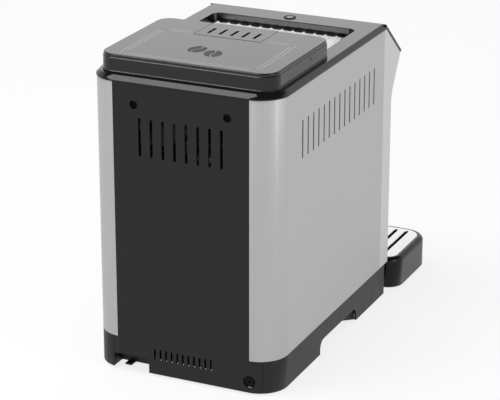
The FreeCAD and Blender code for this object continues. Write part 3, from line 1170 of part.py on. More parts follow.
board_face = "works_wall_x - wall - gap"
power_parts = [box("power_sheet", ("%s - board_thick" % board_face, board_face),
                   ("brew_y + 6", "body_back - 20"), ("100", "175"))]
for i, (y, z, size) in enumerate((("brew_y + 14", "108", "22"), ("brew_y + 50", "108", "16"),
                                  ("brew_y + 84", "110", "24"),
                                  ("brew_y + 20", "145", "18"), ("brew_y + 60", "142", "20"))):
    power_parts.append(box("power_item_%d" % i,
                           ("%s - board_thick - 14" % board_face, "%s - board_thick + 0.5" % board_face),
                           (y, "%s + %s" % (y, size)), (z, "%s + %s" % (z, size))))
node(fuse("power_board", *power_parts))

# ---------------------------------------------------------------- checks and files

doc.recompute()
for thing in doc.Objects:
    bad = {"Invalid", "Error"} & set(thing.State)
    if bad:
        raise RuntimeError("%s: %s" % (thing.Label, sorted(bad)))
for thing in nodes:
    if thing.Shape.isNull() or not thing.Shape.isValid() or not thing.Shape.Solids:
        raise RuntimeError(thing.Label + " has no sound solid")
os.makedirs("parts", exist_ok=True)
for thing in nodes:
    thing.Shape.exportStep("parts/%s.step" % thing.Label)
print("parts", len(nodes))
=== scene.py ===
"""Looks of the bean-to-cup coffee machine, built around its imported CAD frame. Metres, +Z up, front -Y."""

import functools
import math
import operator

import bmesh
import bpy
from mathutils import Matrix, Vector


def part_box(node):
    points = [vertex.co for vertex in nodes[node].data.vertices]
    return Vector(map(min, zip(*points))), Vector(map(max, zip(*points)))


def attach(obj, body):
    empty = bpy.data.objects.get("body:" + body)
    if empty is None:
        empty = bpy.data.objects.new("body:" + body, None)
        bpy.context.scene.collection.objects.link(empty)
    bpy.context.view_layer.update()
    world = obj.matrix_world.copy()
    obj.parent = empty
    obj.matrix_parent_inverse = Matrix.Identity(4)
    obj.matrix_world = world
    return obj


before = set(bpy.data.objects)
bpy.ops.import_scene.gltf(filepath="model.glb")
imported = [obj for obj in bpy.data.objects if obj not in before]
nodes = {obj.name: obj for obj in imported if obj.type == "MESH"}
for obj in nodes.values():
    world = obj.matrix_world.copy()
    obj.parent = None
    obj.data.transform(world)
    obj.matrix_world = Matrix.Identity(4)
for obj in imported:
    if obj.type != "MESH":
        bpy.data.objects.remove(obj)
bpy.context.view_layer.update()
MM = 0.001
scene = bpy.context.scene


# ---------------------------------------------------------------- shader toolkit

class Value:
    """One output of a shader node. Arithmetic written on it becomes Math nodes."""

    def __init__(self, shader, socket):
        self.shader, self.socket = shader, socket

    def _maths(self, operation, first, second=0.0):
        return self.shader.node("ShaderNodeMath", {"operation": operation}, {0: first, 1: second})

    def __add__(self, other):
        return self._maths("ADD", self, other)

    def __radd__(self, other):
        return self._maths("ADD", other, self)

    def __sub__(self, other):
        return self._maths("SUBTRACT", self, other)

    def __rsub__(self, other):
        return self._maths("SUBTRACT", other, self)

    def __mul__(self, other):
        return self._maths("MULTIPLY", self, other)

    def __pow__(self, other):
        return self._maths("POWER", self, other)

    def __lt__(self, other):
        return self._maths("LESS_THAN", self, other)

    def __or__(self, other):
        """The greater of the two, for yes-or-no values."""
        return self._maths("MAXIMUM", self, other)


class Shader:
    """The node tree of one material, or of the world."""

    def __init__(self, owner):
        owner.use_nodes = True
        self.owner, self.tree = owner, owner.node_tree
        self.tree.nodes.clear()

    def node(self, kind, settings=None, sockets=None, output=0):
        """Adds a node: its settings are set first, then the values or links of its sockets."""
        made = self.tree.nodes.new(kind)
        for name, setting in (settings or {}).items():
            setattr(made, name, setting)
        for name, value in (sockets or {}).items():
            if isinstance(value, Value):
                self.tree.links.new(value.socket, made.inputs[name])
            else:
                made.inputs[name].default_value = value
        return Value(self, made.outputs[output])

    def place(self):
        """Position on the piece, in metres."""
        return self.node("ShaderNodeTexCoord", output="Object")

    def rays(self, *kinds):
        """1 where the ray that looks is of one of the kinds, and 0 elsewhere."""
        looks = [self.node("ShaderNodeLightPath", output="Is %s Ray" % kind) for kind in kinds]
        return functools.reduce(operator.or_, looks)

    def stretched(self, x, y, z):
        """Position with each axis multiplied."""
        return self.node("ShaderNodeMapping", sockets={"Vector": self.place(), "Scale": (x, y, z)})

    def noise(self, scale, detail=3.0, where=None, rough=0.5):
        return self.node("ShaderNodeTexNoise", sockets={
            "Vector": where or self.place(), "Scale": scale, "Detail": detail, "Roughness": rough})

    def cells(self, scale, feature="F1", output=0):
        """Small cells of random size: distance from a cell's middle or edge, or the cell's own colour."""
        return self.node("ShaderNodeTexVoronoi", {"feature": feature},
                         {"Vector": self.place(), "Scale": scale}, output)

    def mix(self, factor, first, second):
        """A colour between two colours."""
        return self.node("ShaderNodeMix", {"data_type": "RGBA"}, {"Factor": factor, 6: first, 7: second},
                         output=2)

    def bump(self, height, depth):
        """A surface raised by up to depth, in millimetres."""
        return self.node("ShaderNodeBump", sockets={"Height": height, "Distance": depth * MM})

    def shades(self, factor, colour, low, high):
        """A colour that wanders between a darker and a lighter one; low and high multiply it."""
        return self.mix(factor, scaled(colour, low), scaled(colour, high))

    def finish(self, surface, output="ShaderNodeOutputMaterial"):
        """Links the surface or sky to the output, which completes the material or world."""
        out = self.tree.nodes.new(output)
        self.tree.links.new(surface.socket, out.inputs["Surface"])
        return self.owner

    def principled(self, **sockets):
        """Closes the material with one principled surface; names use _ for spaces."""
        named = {name.replace("_", " "): value for name, value in sockets.items()}
        return self.finish(self.node("ShaderNodeBsdfPrincipled", sockets=named))


def new_look(name):
    return Shader(bpy.data.materials.new(name))


def grey(level):
    """A grey from its sRGB level, 0 to 255."""
    c = level / 255
    linear = c / 12.92 if c <= 0.04045 else ((c + 0.055) / 1.055) ** 2.4
    return (linear, linear, linear, 1.0)


def scaled(colour, factor):
    """A colour made lighter or darker, and never brighter than white."""
    return tuple(min(1.0, c * factor) for c in colour[:3]) + (1.0,)


# ---------------------------------------------------------------- materials

def moulded(name, colour, roughness=0.5, grain=0.5, depth=0.02, spread=0.12, shine=0.5):
    """Moulded plastic: a fine spark-eroded grain, slightly uneven colour, faint handling marks.
    grain is the size of the texture and depth its height, in millimetres; spread is how uneven it is."""
    s = new_look(name)
    fine = s.noise(1000 / grain, 2.0)
    cloud = s.noise(9.0, 4.0)
    wear = s.noise(70.0, 5.0, s.stretched(1, 1, 0.25), 0.65)
    shade = s.shades(cloud * 0.6 + fine * 0.4, colour, 1 - spread, 1 + spread)
    return s.principled(Base_Color=shade, Roughness=roughness + (wear - 0.5) * 0.16 + (fine - 0.5) * 0.1,
                        Specular_IOR_Level=shine, Normal=s.bump(fine, depth))


def piano_black(name, shine):
    """High-gloss moulded black with the faint waviness and dust of real gloss plastic."""
    s = new_look(name)
    wave = s.noise(14.0, 2.0)
    haze = s.noise(45.0, 6.0, rough=0.7)
    dust = s.cells(900.0) < 0.06
    shade = s.mix(dust * 0.4, grey(12), grey(60))
    return s.principled(Base_Color=shade, Roughness=0.05 + haze * 0.08 + dust * 0.25,
                        Specular_IOR_Level=shine, Normal=s.bump(wave, 0.08))


FLAKES = 3200.0    # a third of a millimetre apart


def silver_lacquer(name, level):
    """Silver lacquer: fine flakes that each catch the light, a slight orange peel, a soft satin."""
    s = new_look(name)
    flakes = s.cells(FLAKES)
    tint = s.cells(FLAKES, output="Color")
    sparkle = s.node("ShaderNodeSeparateColor", sockets={0: tint})
    peel = s.noise(420.0, 2.0)
    cloud = s.noise(5.0, 3.0)
    shade = s.shades(sparkle * 0.7 + cloud * 0.3, grey(level), 0.9, 1.1)
    return s.principled(Base_Color=shade, Metallic=0.55 + sparkle * 0.2,
                        Roughness=0.40 + sparkle * 0.1 + (cloud - 0.5) * 0.08,
                        Normal=s.bump(peel + flakes * 0.3, 0.012))


def smoked(name, level, alpha, roughness=0.05, coat=0.3, shine=0.5):
    """Clear smoked plastic with faint scuffs; alpha is how much of what is behind it it hides."""
    s = new_look(name)
    scuff = s.noise(160.0, 6.0, s.stretched(1, 0.3, 1), 0.75)
    cloud = s.noise(12.0, 2.0)
    shade = s.shades(cloud, grey(level), 0.92, 1.08)
    return s.principled(Base_Color=shade, Roughness=roughness + scuff * 0.08, Alpha=alpha + scuff * 0.06,
                        Coat_Weight=coat, Coat_Roughness=0.04, Specular_IOR_Level=shine,
                        Normal=s.bump(cloud, 0.05))


def brushed(name, level, along, roughness=0.28, metallic=1.0):
    """Brushed steel; along is the axis of the brush lines."""
    s = new_look(name)
    stretch = [25.0 if axis == along else 2200.0 for axis in "xyz"]
    lines = s.noise(1.0, 3.0, s.stretched(*stretch), 0.7)
    broad = s.noise(1.0, 2.0, s.stretched(*[v / 9 for v in stretch]), 0.6)
    smudge = s.noise(18.0, 4.0)
    shade = s.shades(lines * 0.6 + broad * 0.4, grey(level), 0.82, 1.12)
    return s.principled(Base_Color=shade, Metallic=metallic,
                        Roughness=roughness + (lines - 0.5) * 0.18 + (smudge - 0.5) * 0.1,
                        Normal=s.bump(lines + broad * 0.5, 0.006))


def polished(name, level, roughness=0.08):
    """Polished or plated metal with light smears."""
    s = new_look(name)
    smear = s.noise(60.0, 5.0, rough=0.7)
    fine = s.noise(900.0, 2.0)
    shade = s.shades(smear, grey(level), 0.94, 1.05)
    return s.principled(Base_Color=shade, Metallic=1.0, Roughness=roughness + smear * 0.08,
                        Normal=s.bump(fine, 0.002))


def cast_metal(name, level):
    """Sand-cast or die-cast aluminium."""
    s = new_look(name)
    skin = s.noise(700.0, 4.0)
    blotch = s.noise(35.0, 4.0)
    shade = s.shades(blotch, grey(level), 0.8, 1.1)
    return s.principled(Base_Color=shade, Metallic=0.9, Roughness=0.42 + blotch * 0.2,
                        Normal=s.bump(skin, 0.06))


def rubber(name, level, roughness=0.75):
    """Soft rubber or silicone, dusty in places."""
    s = new_look(name)
    skin = s.noise(1800.0, 2.0)
    dusty = s.noise(30.0, 5.0)
    shade = s.mix(dusty ** 2, grey(level), grey(level + 22))
    return s.principled(Base_Color=shade, Roughness=roughness + (dusty - 0.5) * 0.2,
                        Normal=s.bump(skin, 0.03))


def circuit(name):
    """Green solder mask with copper tracks under it."""
    s = new_look(name)
    tracks = s.cells(260.0, "DISTANCE_TO_EDGE") < 0.09
    haze = s.noise(40.0)
    shade = s.mix(tracks, (0.012, 0.10, 0.035, 1), (0.03, 0.20, 0.07, 1))
    return s.principled(Base_Color=shade, Roughness=0.35 + haze * 0.15, Normal=s.bump(tracks, 0.03))


def print_ink(name, level, roughness=0.45):
    """Pad-printed ink with slightly uneven cover."""
    s = new_look(name)
    cover = s.noise(2500.0, 3.0)
    shade = s.shades(cover, grey(level), 0.9, 1.1)
    return s.principled(Base_Color=shade, Roughness=roughness + cover * 0.2, Specular_IOR_Level=0.1)


def lamp_window(name, colour, glow):
    """A small diffused indicator."""
    s = new_look(name)
    cover = s.noise(1500.0, 2.0)
    shade = s.shades(cover, colour, 0.85, 1.1)
    return s.principled(Base_Color=shade, Roughness=0.35 + cover * 0.1, Emission_Color=shade,
                        Emission_Strength=glow)


SILVER = silver_lacquer("silver_lacquer", 178)
# the side silver made lighter for the cheeks: partly their own finish, partly painted light for the brighter
# tone they take from the light
CHEEK_SILVER_AND_LIGHT = silver_lacquer("cheek_lacquer_and_painted_light", 200)
SHELL = moulded("black_shell", grey(22), 0.45, grain=0.45, depth=0.012, shine=0.28)
BASE = moulded("base_black", grey(24), 0.45, grain=0.6, shine=0.28)
WELL = moulded("dark_works", grey(20), grain=0.6, shine=0.2)
GLOSS = piano_black("piano_black", shine=0.32)
SMOKED = smoked("smoked_clear", 22, alpha=0.92, roughness=0.04, coat=0.0, shine=0.4)
HOPPER = smoked("hopper_clear", 50, alpha=0.97, roughness=0.2)
TANK = smoked("tank_clear", 150, alpha=0.32)
TRAY = moulded("tray_plastic", grey(12), 0.18, depth=0.012, shine=0.22)
KEYS = moulded("key_plastic", grey(36), 0.36, grain=0.4, depth=0.01, shine=0.4)
KNOB = moulded("knob_plastic", grey(176), 0.4, depth=0.01)
WORKS = moulded("works_plastic", grey(70), grain=0.7)
PALE = moulded("pale_plastic", grey(200), 0.45, depth=0.015, spread=0.06)
FLOAT = moulded("float_plastic", (0.42, 0.03, 0.02, 1), 0.4, depth=0.01)
# near-white and only a little metallic: brushed steel with its bright reflections painted in as colour, so
# it reads white
SHELF_STEEL_AND_SHEEN = brushed("shelf_steel_painted_sheen", 246, "y", 0.36, metallic=0.2)
GRID_STEEL = brushed("grid_steel", 226, "x", 0.3, metallic=0.7)
TURNED = brushed("turned_steel", 190, "z", 0.3)
# near-black: black steel of the screws, made as dark as the shade in their recesses, and painted shade in
# the door seam and the grip recesses
BLACK_STEEL_AND_SHADE = moulded("black_steel_and_painted_shade", grey(10), grain=0.4, depth=0.01, shine=0.1)
CHROME = polished("wand_chrome", 205)
MOTOR = cast_metal("motor_metal", 150)
HEATER = cast_metal("heater_metal", 190)
RUBBER = rubber("rubber", 38)
HOSE = rubber("hose_silicone", 205, 0.4)
BOARD = circuit("circuit_board")
INK_DARK = print_ink("ink_dark", 8, 0.8)
TRIM = polished("well_trim_metal", 120, 0.3)
INK_LID = print_ink("ink_lid", 70)
INK_PALE = print_ink("ink_pale", 225)
# pale clear film: painted highlights for the glints along the edges of the lid's groove
GROOVE_GLINT = smoked("painted_groove_glint", 140, alpha=0.9, coat=0.0, shine=0.32)
GREEN_LAMP = lamp_window("lamp_green", (0.10, 0.62, 0.16, 1), glow=0.6)
AMBER_LAMP = lamp_window("lamp_amber", (0.85, 0.34, 0.03, 1), glow=0.5)

# ---------------------------------------------------------------- CAD nodes: finish and broken edges

# What each node of the CAD is made of.
FINISH = {
    SILVER: ("side_panel_left", "side_panel_right"),
    CHEEK_SILVER_AND_LIGHT: ("cheek_left", "cheek_right"),
    SHELL: ("rear_panel", "front_fascia", "nose_underside", "grounds_container"),
    BASE: ("base_tub", "cable_bay"),
    WELL: ("ground_coffee_chute", "cord_gland"),
    GLOSS: ("top_frame", "control_panel", "coffee_spout"),
    SMOKED: ("hopper_lid", "ground_coffee_door"),
    HOPPER: ("bean_hopper",),
    TANK: ("water_tank",),
    TRAY: ("drip_tray", "tank_lid"),
    KEYS: ("power_button", "key_1", "key_2", "key_3", "key_4", "key_5", "key_6"),
    KNOB: ("grind_knob",),
    WORKS: ("chassis", "grinder_housing", "brew_frame", "brew_chamber", "piston_carriage", "spout_rail",
            "water_inlet", "flow_meter"),
    PALE: ("tank_float",),
    FLOAT: ("tray_float",),
    SHELF_STEEL_AND_SHEEN: ("cup_shelf",),
    GRID_STEEL: ("drip_grid",),
    TURNED: ("brew_spindle", "upper_burr", "grinder_rotor"),
    BLACK_STEEL_AND_SHADE: ("rear_screws", "base_screw"),
    CHROME: ("steam_wand", "spout_nozzles"),
    MOTOR: ("grinder_motor", "brew_drive_motor", "pump"),
    HEATER: ("thermoblock",),
    RUBBER: ("rubber_feet", "pump_mounts", "frother_sleeve"),
    HOSE: ("pump_hose", "inlet_hose"),
    BOARD: ("power_board", "control_board"),
}
# Width of the broken edge of each node, in millimetres, where it isn't the usual one.
USUAL_EDGE = 0.3
EDGE = {"coffee_spout": 1.5, "drip_tray": 0.8, "water_tank": 0.4, "tank_lid": 0.8, "thermoblock": 0.6,
        "pump": 0.8, "grinder_motor": 0.8, "hopper_lid": 0.5, "ground_coffee_door": 0.4,
        "key_1": 0.5, "key_2": 0.5, "key_3": 0.5, "key_4": 0.5, "key_5": 0.5, "key_6": 0.5}


def break_edges(piece, width):
    """Rounds the sharp edges of a mesh and shades its faces smooth between them."""
    weld = piece.modifiers.new("weld", "WELD")
    weld.merge_threshold = 0.000002
    flat = piece.modifiers.new("flat", "DECIMATE")
    flat.decimate_type = "DISSOLVE"
    flat.angle_limit = math.radians(0.6)
    bevel = piece.modifiers.new("bevel", "BEVEL")
    bevel.width = width * MM
    bevel.segments = 2
    bevel.limit_method = "ANGLE"
    bevel.angle_limit = math.radians(38)
    bevel.harden_normals = True
    bevel.use_clamp_overlap = True


for material, members in FINISH.items():
    for name in members:
        piece = nodes[name]
        piece.data.materials.clear()
        piece.data.materials.append(material)
        break_edges(piece, EDGE.get(name, USUAL_EDGE))

# ---------------------------------------------------------------- pieces that the CAD doesn't hold

def put(name, mesh, material, body, smooth=False):
    """Places a mesh as a piece that rides on a body, in the given material."""
    piece = bpy.data.objects.new(name, mesh)
    scene.collection.objects.link(piece)
    mesh.materials.append(material)
    for face in mesh.polygons:
        face.use_smooth = smooth
    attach(piece, body)
    return piece


def spot_at(where, right=(1, 0, 0), up=(0, 1, 0)):
    """A flat spot at a point given in millimetres, with the directions of its own x and y axes.
    It faces straight up where no directions are given."""
    right, up = Vector(right), Vector(up)
    turn = Matrix((right, up, right.cross(up))).transposed().to_4x4()
    return Matrix.Translation(Vector(where) * MM) @ turn


BACKWARD, FORWARD, LEFTWARD, RISING = (0, 1, 0), (0, -1, 0), (-1, 0, 0), (0, 0, 1)


def box_of(name):
    """Lowest and highest corner of a CAD node, in millimetres."""
    return [[value / MM for value in corner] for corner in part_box(name)]


def arc(centre, radius, start, end, steps=10):
    """Points of an arc; angles in degrees."""
    turn = [math.radians(start + (end - start) * i / steps) for i in range(steps + 1)]
    return [(centre[0] + radius * math.cos(a), centre[1] + radius * math.sin(a)) for a in turn]


def rounded(x, y, radius, steps=6):
    """Outline of a rectangle with round corners, counter-clockwise."""
    (left, right), (low, high) = x, y
    corners = [((right - radius, high - radius), 0), ((left + radius, high - radius), 90),
               ((left + radius, low + radius), 180), ((right - radius, low + radius), 270)]
    return [p for spot, turn in corners for p in arc(spot, radius, turn, turn + 90, steps)]


def slabs(name, outlines, thick, spot):
    """Thin plates with the given outlines, in millimetres, standing out from the plane of a spot."""
    bm = bmesh.new()
    for outline in outlines:
        low = [bm.verts.new(spot @ Vector((x * MM, y * MM, 0))) for x, y in outline]
        high = [bm.verts.new(spot @ Vector((x * MM, y * MM, thick * MM))) for x, y in outline]
        bm.faces.new(high)
        bm.faces.new(low[::-1])
        for i in range(len(outline)):
            k = (i + 1) % len(outline)
            bm.faces.new((low[i], low[k], high[k], high[i]))
    return finished(name, bm)


def finished(name, bm):
    """Turns the faces of a new shape outwards and makes a mesh of it."""
    bmesh.ops.recalc_face_normals(bm, faces=bm.faces)
    mesh = bpy.data.meshes.new(name)
    bm.to_mesh(mesh)
    bm.free()
    return mesh


def stroke(points, wide):
    """Outline of a line drawn along points, as quads that overlap a little at its bends."""
    quads = []
    for (ax, ay), (bx, by) in zip(points, points[1:]):
        along = Vector((bx - ax, by - ay)).normalized() * wide / 2
        side = Vector((-along.y, along.x))
        lap = along * 0.4
        start, end = Vector((ax, ay)) - lap, Vector((bx, by)) + lap
        quads.append([tuple(start - side), tuple(end - side), tuple(end + side), tuple(start + side)])
    return quads


def turned(name, profile, spot, steps=40):
    """A turned shape: (radius, height) points in millimetres, swept round a spot's own z axis."""
    bm = bmesh.new()
    turn = [2 * math.pi * i / steps for i in range(steps)]
    rings = [[bm.verts.new(spot @ (Vector((radius * math.cos(a), radius * math.sin(a), height)) * MM))
              for a in turn] for radius, height in profile]
    for lower, upper in zip(rings, rings[1:]):
        for i in range(steps):
            k = (i + 1) % steps
            bm.faces.new((lower[i], lower[k], upper[k], upper[i]))
    return finished(name, bm)


def bean_sign(long_half, short_half, turn, centre):
    """Two halves of a coffee bean with an S-shaped furrow between them."""
    c, s = math.cos(math.radians(turn)), math.sin(math.radians(turn))

    def placed(along, across):
        return (centre[0] + along * c - across * s, centre[1] + along * s + across * c)

    wave, half_gap, blunt = 1.5, 0.85, 0.9
    steps = [i / 14 for i in range(-14, 15)]
    furrow = [(t * long_half, -wave * math.sin(math.pi * t)) for t in steps]
    halves = []
    for side in (1, -1):
        rim = [(t * long_half, side * max(short_half * math.sqrt(1 - t * t), blunt)) for t in steps]
        inner = [(along, across + side * half_gap) for along, across in furrow]
        halves.append([placed(*p) for p in rim + inner[::-1]])
    return halves


def put_slabs(name, outlines, thick, spot, material, body):
    """Makes thin plates into a piece; all the pieces that lie on a surface are made with this."""
    return put(name, slabs(name, outlines, thick, spot), material, body)


PRINT = 0.03    # thickness of printed ink

# lid of the bean hopper: two coffee beans, pale lines along both edges of the groove round its middle as
# painted highlights, and a mark on its side
LID_TOP = box_of("hopper_lid")[1][2]
LID_SIDE = -101.8
lid_spot = spot_at((0, 0, LID_TOP))
beans = bean_sign(12.2, 9.6, 79, (10.2, 156.9)) + bean_sign(12.2, 9.8, 102, (-11.8, 164.4))
put_slabs("bean_signs", beans, 0.04, lid_spot, INK_LID, "lid")


def lid_groove(inset):
    """Line of an edge of the lid's groove: open at the front, where the ground coffee door is."""
    door_side, reach, front, rear, bend = 46, 80.2 - inset, 98.7 + inset, 203 - inset, 9 - inset
    half = [(door_side, front)]
    half += arc((reach - bend, front + bend), bend, -90, 0)
    half += arc((reach - bend, rear - bend), bend, 0, 90)
    return half + [(-x, y) for x, y in half[::-1]]


# the pale lines are thin flat strips: painted highlights for the glints on the edges of the groove
GROOVE_WIDE, GLINT_WIDE = 4.6, 0.9
groove_glints = stroke(lid_groove(0), GLINT_WIDE) + stroke(lid_groove(GROOVE_WIDE), GLINT_WIDE)
put_slabs("lid_groove_glints", groove_glints, PRINT, lid_spot, GROOVE_GLINT, "lid")
side_mark = [rounded((-1.9, -0.5), (-1.6, 0.9), 0.3), rounded((0.5, 1.9), (-0.9, 1.6), 0.3)]
put_slabs("lid_side_mark", side_mark, 0.04, spot_at((LID_SIDE, 114.6, 350.2), FORWARD, RISING), INK_DARK,
          "lid")

# a dark strip in the seam round the ground coffee door: painted shade, standing for the shadow in the gap
SEAM, SEAM_WIDE, DOOR_FRONT, DOOR_REAR = 39.65, 0.66, 59, 106.66
SHADE_DEEP, SHADE_HIGH = 1.65, 1.6
seam_shade_run = [(-SEAM, DOOR_FRONT), (-SEAM, DOOR_REAR), (SEAM, DOOR_REAR), (SEAM, DOOR_FRONT)]
put_slabs("door_seam_shade", stroke(seam_shade_run, SEAM_WIDE), SHADE_HIGH, spot_at((0, 0, LID_TOP - SHADE_DEEP)),
          BLACK_STEEL_AND_SHADE, "lid")

# polished trim along the front wall of the cup shelf well
WELL_FRONT, TRIM_REACH, TRIM_LOW, TRIM_HIGH = -49, 79, 331.6, 337.2
trim = rounded((-TRIM_REACH, TRIM_REACH), (TRIM_LOW, TRIM_HIGH), 1.8)
put_slabs("well_trim", [trim], 0.25, spot_at((0, WELL_FRONT, 0), LEFTWARD, RISING), TRIM,
          "machine")

# power button: a printed ring along its rim, and the usual sign of a broken circle and a stroke
button_low, button_high = box_of("power_button")
button_radius = (button_high[0] - button_low[0]) / 2
power_spot = spot_at([(low + high) / 2 for low, high in zip(button_low[:2], button_high)] + [button_high[2]])
RING_PART = 30    # the ring is made of plates of this many degrees
power_ring = [arc((0, 0), button_radius - 0.1, a, a + RING_PART, 3)
              + arc((0, 0), button_radius - 1.15, a + RING_PART, a, 3) for a in range(0, 360, RING_PART)]
power_sign = stroke(arc((0, 0), 2.7, -230, 50, 16), 0.9) + stroke([(0, 0.6), (0, 3.6)], 0.9)
for name, outlines, ink in (("power_ring", power_ring, INK_DARK), ("power_sign", power_sign, INK_PALE)):
    put_slabs(name, outlines, PRINT, power_spot, ink, "button")

# keys on the sloping control panel: each sign lies on its key and rides with it
SLOPE_FOOT = Vector((0, -133, 294.5))
SLOPE_RUN, SLOPE_RISE = 51, 43.5
SLOPE_UP = Vector((0, SLOPE_RUN, SLOPE_RISE)).normalized()
SLOPE_OUT = Vector((0, -SLOPE_RISE, SLOPE_RUN)).normalized()


def slope_spot(x, along, proud):
    """A spot on the control panel; along is measured up the slope from its lower edge, proud outwards."""
    return spot_at(SLOPE_FOOT + Vector((x, 0, 0)) + SLOPE_UP * along + SLOPE_OUT * proud, up=SLOPE_UP)


LINE = 0.45    # width of the lines of the signs on the keys


def cup(x, low, wide, high):
    """A cup seen from the side, with its handle and saucer."""
    left, right, top, bend = x - wide / 2, x + wide / 2, low + high, low + high * 0.35
    body = [(left, top), (left, bend)] + arc((x, bend), wide / 2, 180, 360, 10) + [(right, top), (left, top)]
    handle = arc((right, low + high * 0.6), wide * 0.24, 80, -80, 6)
    saucer = [(x + reach * wide, low - wide * 0.32) for reach in (-0.7, 0.7)]
    return stroke(body, LINE) + stroke(handle, LINE) + stroke(saucer, LINE)


def steam(x, low, high):
    """A rising wave."""
    wave = [(x + 0.5 * math.sin(i / 12 * 2 * math.pi), low + high * i / 12) for i in range(13)]
    return stroke(wave, LINE)


def drop(x, low, size):
    """A drop of water with its point upwards."""
    tip = (x, low + size * 2)
    bowl = arc((x, low + size * 0.8), size * 0.8, 160, 380, 12)
    return stroke([tip] + bowl + [tip], LINE)


KEY_SIGNS = {
    "key_1": steam(-2, 0, 5) + steam(0, 0, 5) + steam(2, 0, 5),
    "key_2": drop(0, -2.2, 2.6),
    "key_3": cup(0, -0.5, 4.2, 3.0),
    "key_4": cup(0, -0.8, 5.2, 4.6),
    "key_5": cup(-3.6, -0.5, 3.8, 3.0) + cup(3.6, -0.5, 3.8, 3.0),
    "key_6": drop(-2.2, -2.0, 1.9) + drop(2.2, -2.0, 1.9),
}
FIRST_KEY, KEY_PITCH, KEY_MIDDLE, LAMP_ROW = -75, 30, 31, 46
KEY_X = [FIRST_KEY + KEY_PITCH * i for i in range(len(KEY_SIGNS))]


def face_height(name):
    """How far a node's outermost face stands out from the panel's slope, in millimetres."""
    return max((v.co - SLOPE_FOOT * MM).dot(SLOPE_OUT) for v in nodes[name].data.vertices) / MM


for x, (name, sign) in zip(KEY_X, KEY_SIGNS.items()):
    spot = slope_spot(x, KEY_MIDDLE, face_height(name))
    put_slabs(name + "_sign", sign, PRINT, spot, INK_PALE, name + "_body")
panel_face = face_height("control_panel")
window = rounded((-1.6, 1.6), (-0.7, 0.7), 0.6)
for i, x in enumerate(KEY_X):
    lamp = AMBER_LAMP if x == KEY_X[-1] else GREEN_LAMP
    put_slabs("lamp_%d" % (i + 1), [window], 0.05, slope_spot(x, LAMP_ROW, panel_face), lamp,
              "machine")

# grip recesses: a moulded gusset closes the slope of each one, inside the outer wall; it is near-black,
# darker than the base, as painted shade for the shadow in the recess
GUSSET_THICK = 2.0
gusset = [(-8, 3.2), (36.6, 18.8), (-8, 18.8)]
for hand, x in (("left", -107.4), ("right", 105.4)):
    put_slabs("grip_gusset_" + hand, [gusset], GUSSET_THICK, spot_at((x, 0, 0), BACKWARD, RISING),
              BLACK_STEEL_AND_SHADE, "machine")

# steam wand: its nozzle and the ribs of its sleeve, as (radius, height)
wand_spot = spot_at((-82, -117, 0))
NOZZLE = [(1.2, 95.8), (1.9, 95.4), (3.6, 95.5), (4.7, 96.6), (4.8, 98.6), (4.55, 100.2), (4.55, 103.2)]
put("wand_nozzle", turned("wand_nozzle", NOZZLE, wand_spot), CHROME, "wand", True)
SLEEVE, RIB, FIRST_RIB, RIB_PITCH, RIBS = 8.0, 8.45, 112, 5, 9
for i in range(RIBS):
    low = FIRST_RIB + i * RIB_PITCH
    rib = [(SLEEVE, low), (RIB, low + 0.6), (RIB, low + 1.9), (SLEEVE, low + 2.5)]
    name = "sleeve_rib_%d" % (i + 1)
    put(name, turned(name, rib, wand_spot), RUBBER, "wand", True)

# ---------------------------------------------------------------- stage, light and camera

WHITE = (1, 1, 1, 1)
CEILING_LEVEL = 0.12    # strength of the ceiling in mirrors
AMBIENT_LEVEL = 0.55    # strength of the plain light from all round


def stage_material():
    """Pale floor that keeps a soft shadow and reads as plain white around the object."""
    s = new_look("stage_floor")
    matt = s.node("ShaderNodeBsdfDiffuse", sockets={"Color": grey(243)})
    white = s.node("ShaderNodeEmission", sockets={"Color": WHITE, "Strength": 1.0})
    share = s.rays("Camera", "Glossy", "Transmission") * 0.8
    return s.finish(s.node("ShaderNodeMixShader", sockets={0: share, 1: matt, 2: white}))


def add_stage():
    """A wide floor under the object."""
    mesh = bpy.data.meshes.new("floor")
    reach = 12.0
    corners = [(-reach, -reach, 0), (reach, -reach, 0), (reach, reach, 0), (-reach, reach, 0)]
    mesh.from_pydata(corners, [], [(0, 1, 2, 3)])
    floor = bpy.data.objects.new("floor", mesh)
    floor.data.materials.append(stage_material())
    scene.collection.objects.link(floor)


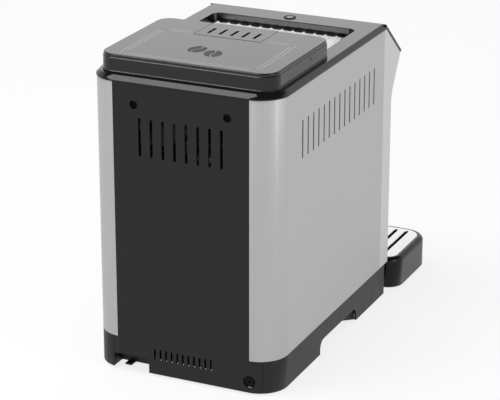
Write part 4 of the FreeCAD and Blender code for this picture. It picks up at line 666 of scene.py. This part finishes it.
def add_world():
    """White where a camera or clear plastic looks at it, and a plain soft light for the rest. Polished
    surfaces mirror the white walls of the studio up to its ceiling, which is dark round the lamps."""
    s = Shader(bpy.data.worlds.new("studio"))
    seen = s.rays("Camera", "Transmission")
    mirrored = s.rays("Glossy")
    direction = s.node("ShaderNodeTexCoord", output="Generated")
    rise = s.node("ShaderNodeSeparateXYZ", sockets={0: direction}, output="Z")
    walls = s.node("ShaderNodeMapRange", sockets={"Value": rise, "From Min": 0.5, "From Max": 0.66,
                                                  "To Min": 1.0, "To Max": CEILING_LEVEL})
    light = mirrored * walls + (1 - mirrored) * AMBIENT_LEVEL
    sky = s.node("ShaderNodeBackground", sockets={"Color": WHITE, "Strength": seen + (1 - seen) * light})
    scene.world = s.finish(sky, "ShaderNodeOutputWorld")


def add_lamp(name, where, aim, size, power):
    """A soft rectangular lamp; places and sizes in metres, power in watts."""
    data = bpy.data.lights.new(name, "AREA")
    data.shape = "RECTANGLE"
    data.size, data.size_y = size
    data.energy = power
    lamp = bpy.data.objects.new(name, data)
    lamp.location = where
    lamp.rotation_euler = (Vector(aim) - Vector(where)).to_track_quat("-Z", "Y").to_euler()
    scene.collection.objects.link(lamp)


def add_camera():
    """Looks down at the machine from behind and from the user's left."""
    data = bpy.data.cameras.new("camera")
    data.sensor_width = 36
    data.lens = 153.55
    data.clip_end = 100
    camera = bpy.data.objects.new("camera", data)
    turn, rise = math.radians(204.78), math.radians(20.50)    # round the machine from its front, and upwards
    back = Vector((math.sin(turn) * math.cos(rise), -math.cos(turn) * math.cos(rise), math.sin(rise)))
    camera.location = (-0.9466, 2.0969, 0.9967)
    camera.rotation_euler = back.to_track_quat("Z", "Y").to_euler()
    scene.collection.objects.link(camera)
    scene.camera = camera


add_stage()
add_world()
middle = (0, 0, 0.18)
add_lamp("left_softbox", (-2.2, 0.5, 1.2), middle, (1.4, 1.6), 16)
add_lamp("rear_softbox", (0.9, 2.4, 1.1), middle, (1.6, 1.6), 3.4)
add_lamp("ceiling_softbox", (0.78, 0.70, 2.0), middle, (1.2, 1.2), 26)
add_lamp("front_strip", (0.86, -1.87, 0.95), (0, 0, 0.35), (2.0, 0.9), 3.3)
add_camera()
scene.view_settings.view_transform = "Standard"
